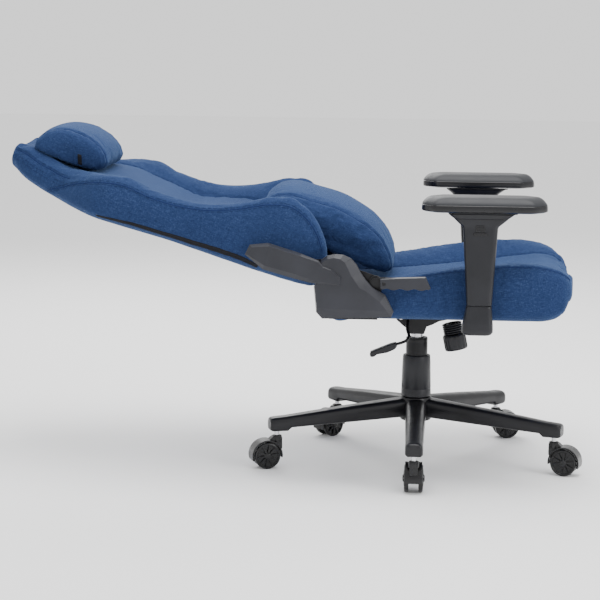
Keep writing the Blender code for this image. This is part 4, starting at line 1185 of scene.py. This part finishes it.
KEPT = {
    "bright_steel": ["gas_piston_rod", "gas_inner_tube", "tilt_pin", "tension_spring"],
    "black_steel": ["mechanism_housing", "seat_plate", "cross_rod", "back_frame", "recline_lever_arm"],
    "plywood": ["seat_board"],
    "arm_plastic": [f"pad_carrier_{hand}" for hand, _ in SIDES],
}
KEPT["bright_steel"] += [f"caster_{number}_stem" for number in range(1, 6)]
for part in ("recliner_plate", "arm_bracket"):
    KEPT["black_steel"] += [f"{part}_{hand}" for hand, _ in SIDES]


def finish_kept_nodes():
    for material, names in KEPT.items():
        for name in names:
            node = NODES[name]
            for slot in node.material_slots:
                slot.material = MATERIALS[material]
            if material == "black_steel" and name not in ("back_frame", "cross_rod"):
                rounded(node, 0.0008, 2, 30)


# Camera, floor and light


CAMERA_PLACE = (0.308, -4.482, 1.043)
CAMERA_AZIMUTH, CAMERA_PITCH, CAMERA_ROLL = math.radians(3.75), math.radians(8.52), math.radians(0.58)
FOCAL_LENGTH = 118.2
LAMPS = (
    ("key", (0.4, -0.4, 3.0), (0.2, 0, 0.4), 2.2, 90),
    ("back", (-0.6, 2.4, 2.4), (0.1, 0, 0.4), 2.2, 60),
    ("side", (3.0, -2.0, 1.6), (0.3, 0, 0.4), 1.4, 40),
)


def make_camera():
    cos_pitch = math.cos(CAMERA_PITCH)
    level = Vector((math.cos(CAMERA_AZIMUTH), math.sin(CAMERA_AZIMUTH), 0))
    forward = Vector((-level.y * cos_pitch, level.x * cos_pitch, -math.sin(CAMERA_PITCH)))
    above = level.cross(forward)
    right = level * math.cos(CAMERA_ROLL) + above * math.sin(CAMERA_ROLL)
    up = above * math.cos(CAMERA_ROLL) - level * math.sin(CAMERA_ROLL)
    camera = linked("camera", bpy.data.cameras.new("camera"))
    camera.matrix_world = at(*CAMERA_PLACE) @ Matrix((right, up, -forward)).transposed().to_4x4()
    camera.data.lens = FOCAL_LENGTH
    camera.data.sensor_width = 36
    camera.data.clip_end = 50
    bpy.context.scene.camera = camera


def make_stage():
    made = bmesh.new()
    bmesh.ops.create_grid(made, x_segments=1, y_segments=1, size=14)
    floor = linked("floor", to_mesh("floor", made, at(0, 0, -0.0005)))
    floor.data.materials.append(Nodes("pale_floor", (0.94, 0.94, 0.94), 0.9).material)
    world = bpy.data.worlds.new("studio")
    world.use_nodes = True
    background = world.node_tree.nodes["Background"]
    background.inputs["Color"].default_value = (1, 1, 1, 1)
    background.inputs["Strength"].default_value = 1.25
    bpy.context.scene.world = world
    for name, place, target, size, power in LAMPS:
        light = bpy.data.lights.new(name, "AREA")
        light.energy = power
        light.shape = "DISK"
        light.size = size
        lamp = linked(name, light)
        lamp.location = place
        lamp.rotation_euler = (Vector(target) - Vector(place)).to_track_quat("-Z", "Y").to_euler()


make_camera()
make_stage()
make_seat()
make_back()
make_pillows()
make_base()
make_casters()
make_underseat()
make_hinges()
make_recline_lever()
make_arms()
finish_kept_nodes()
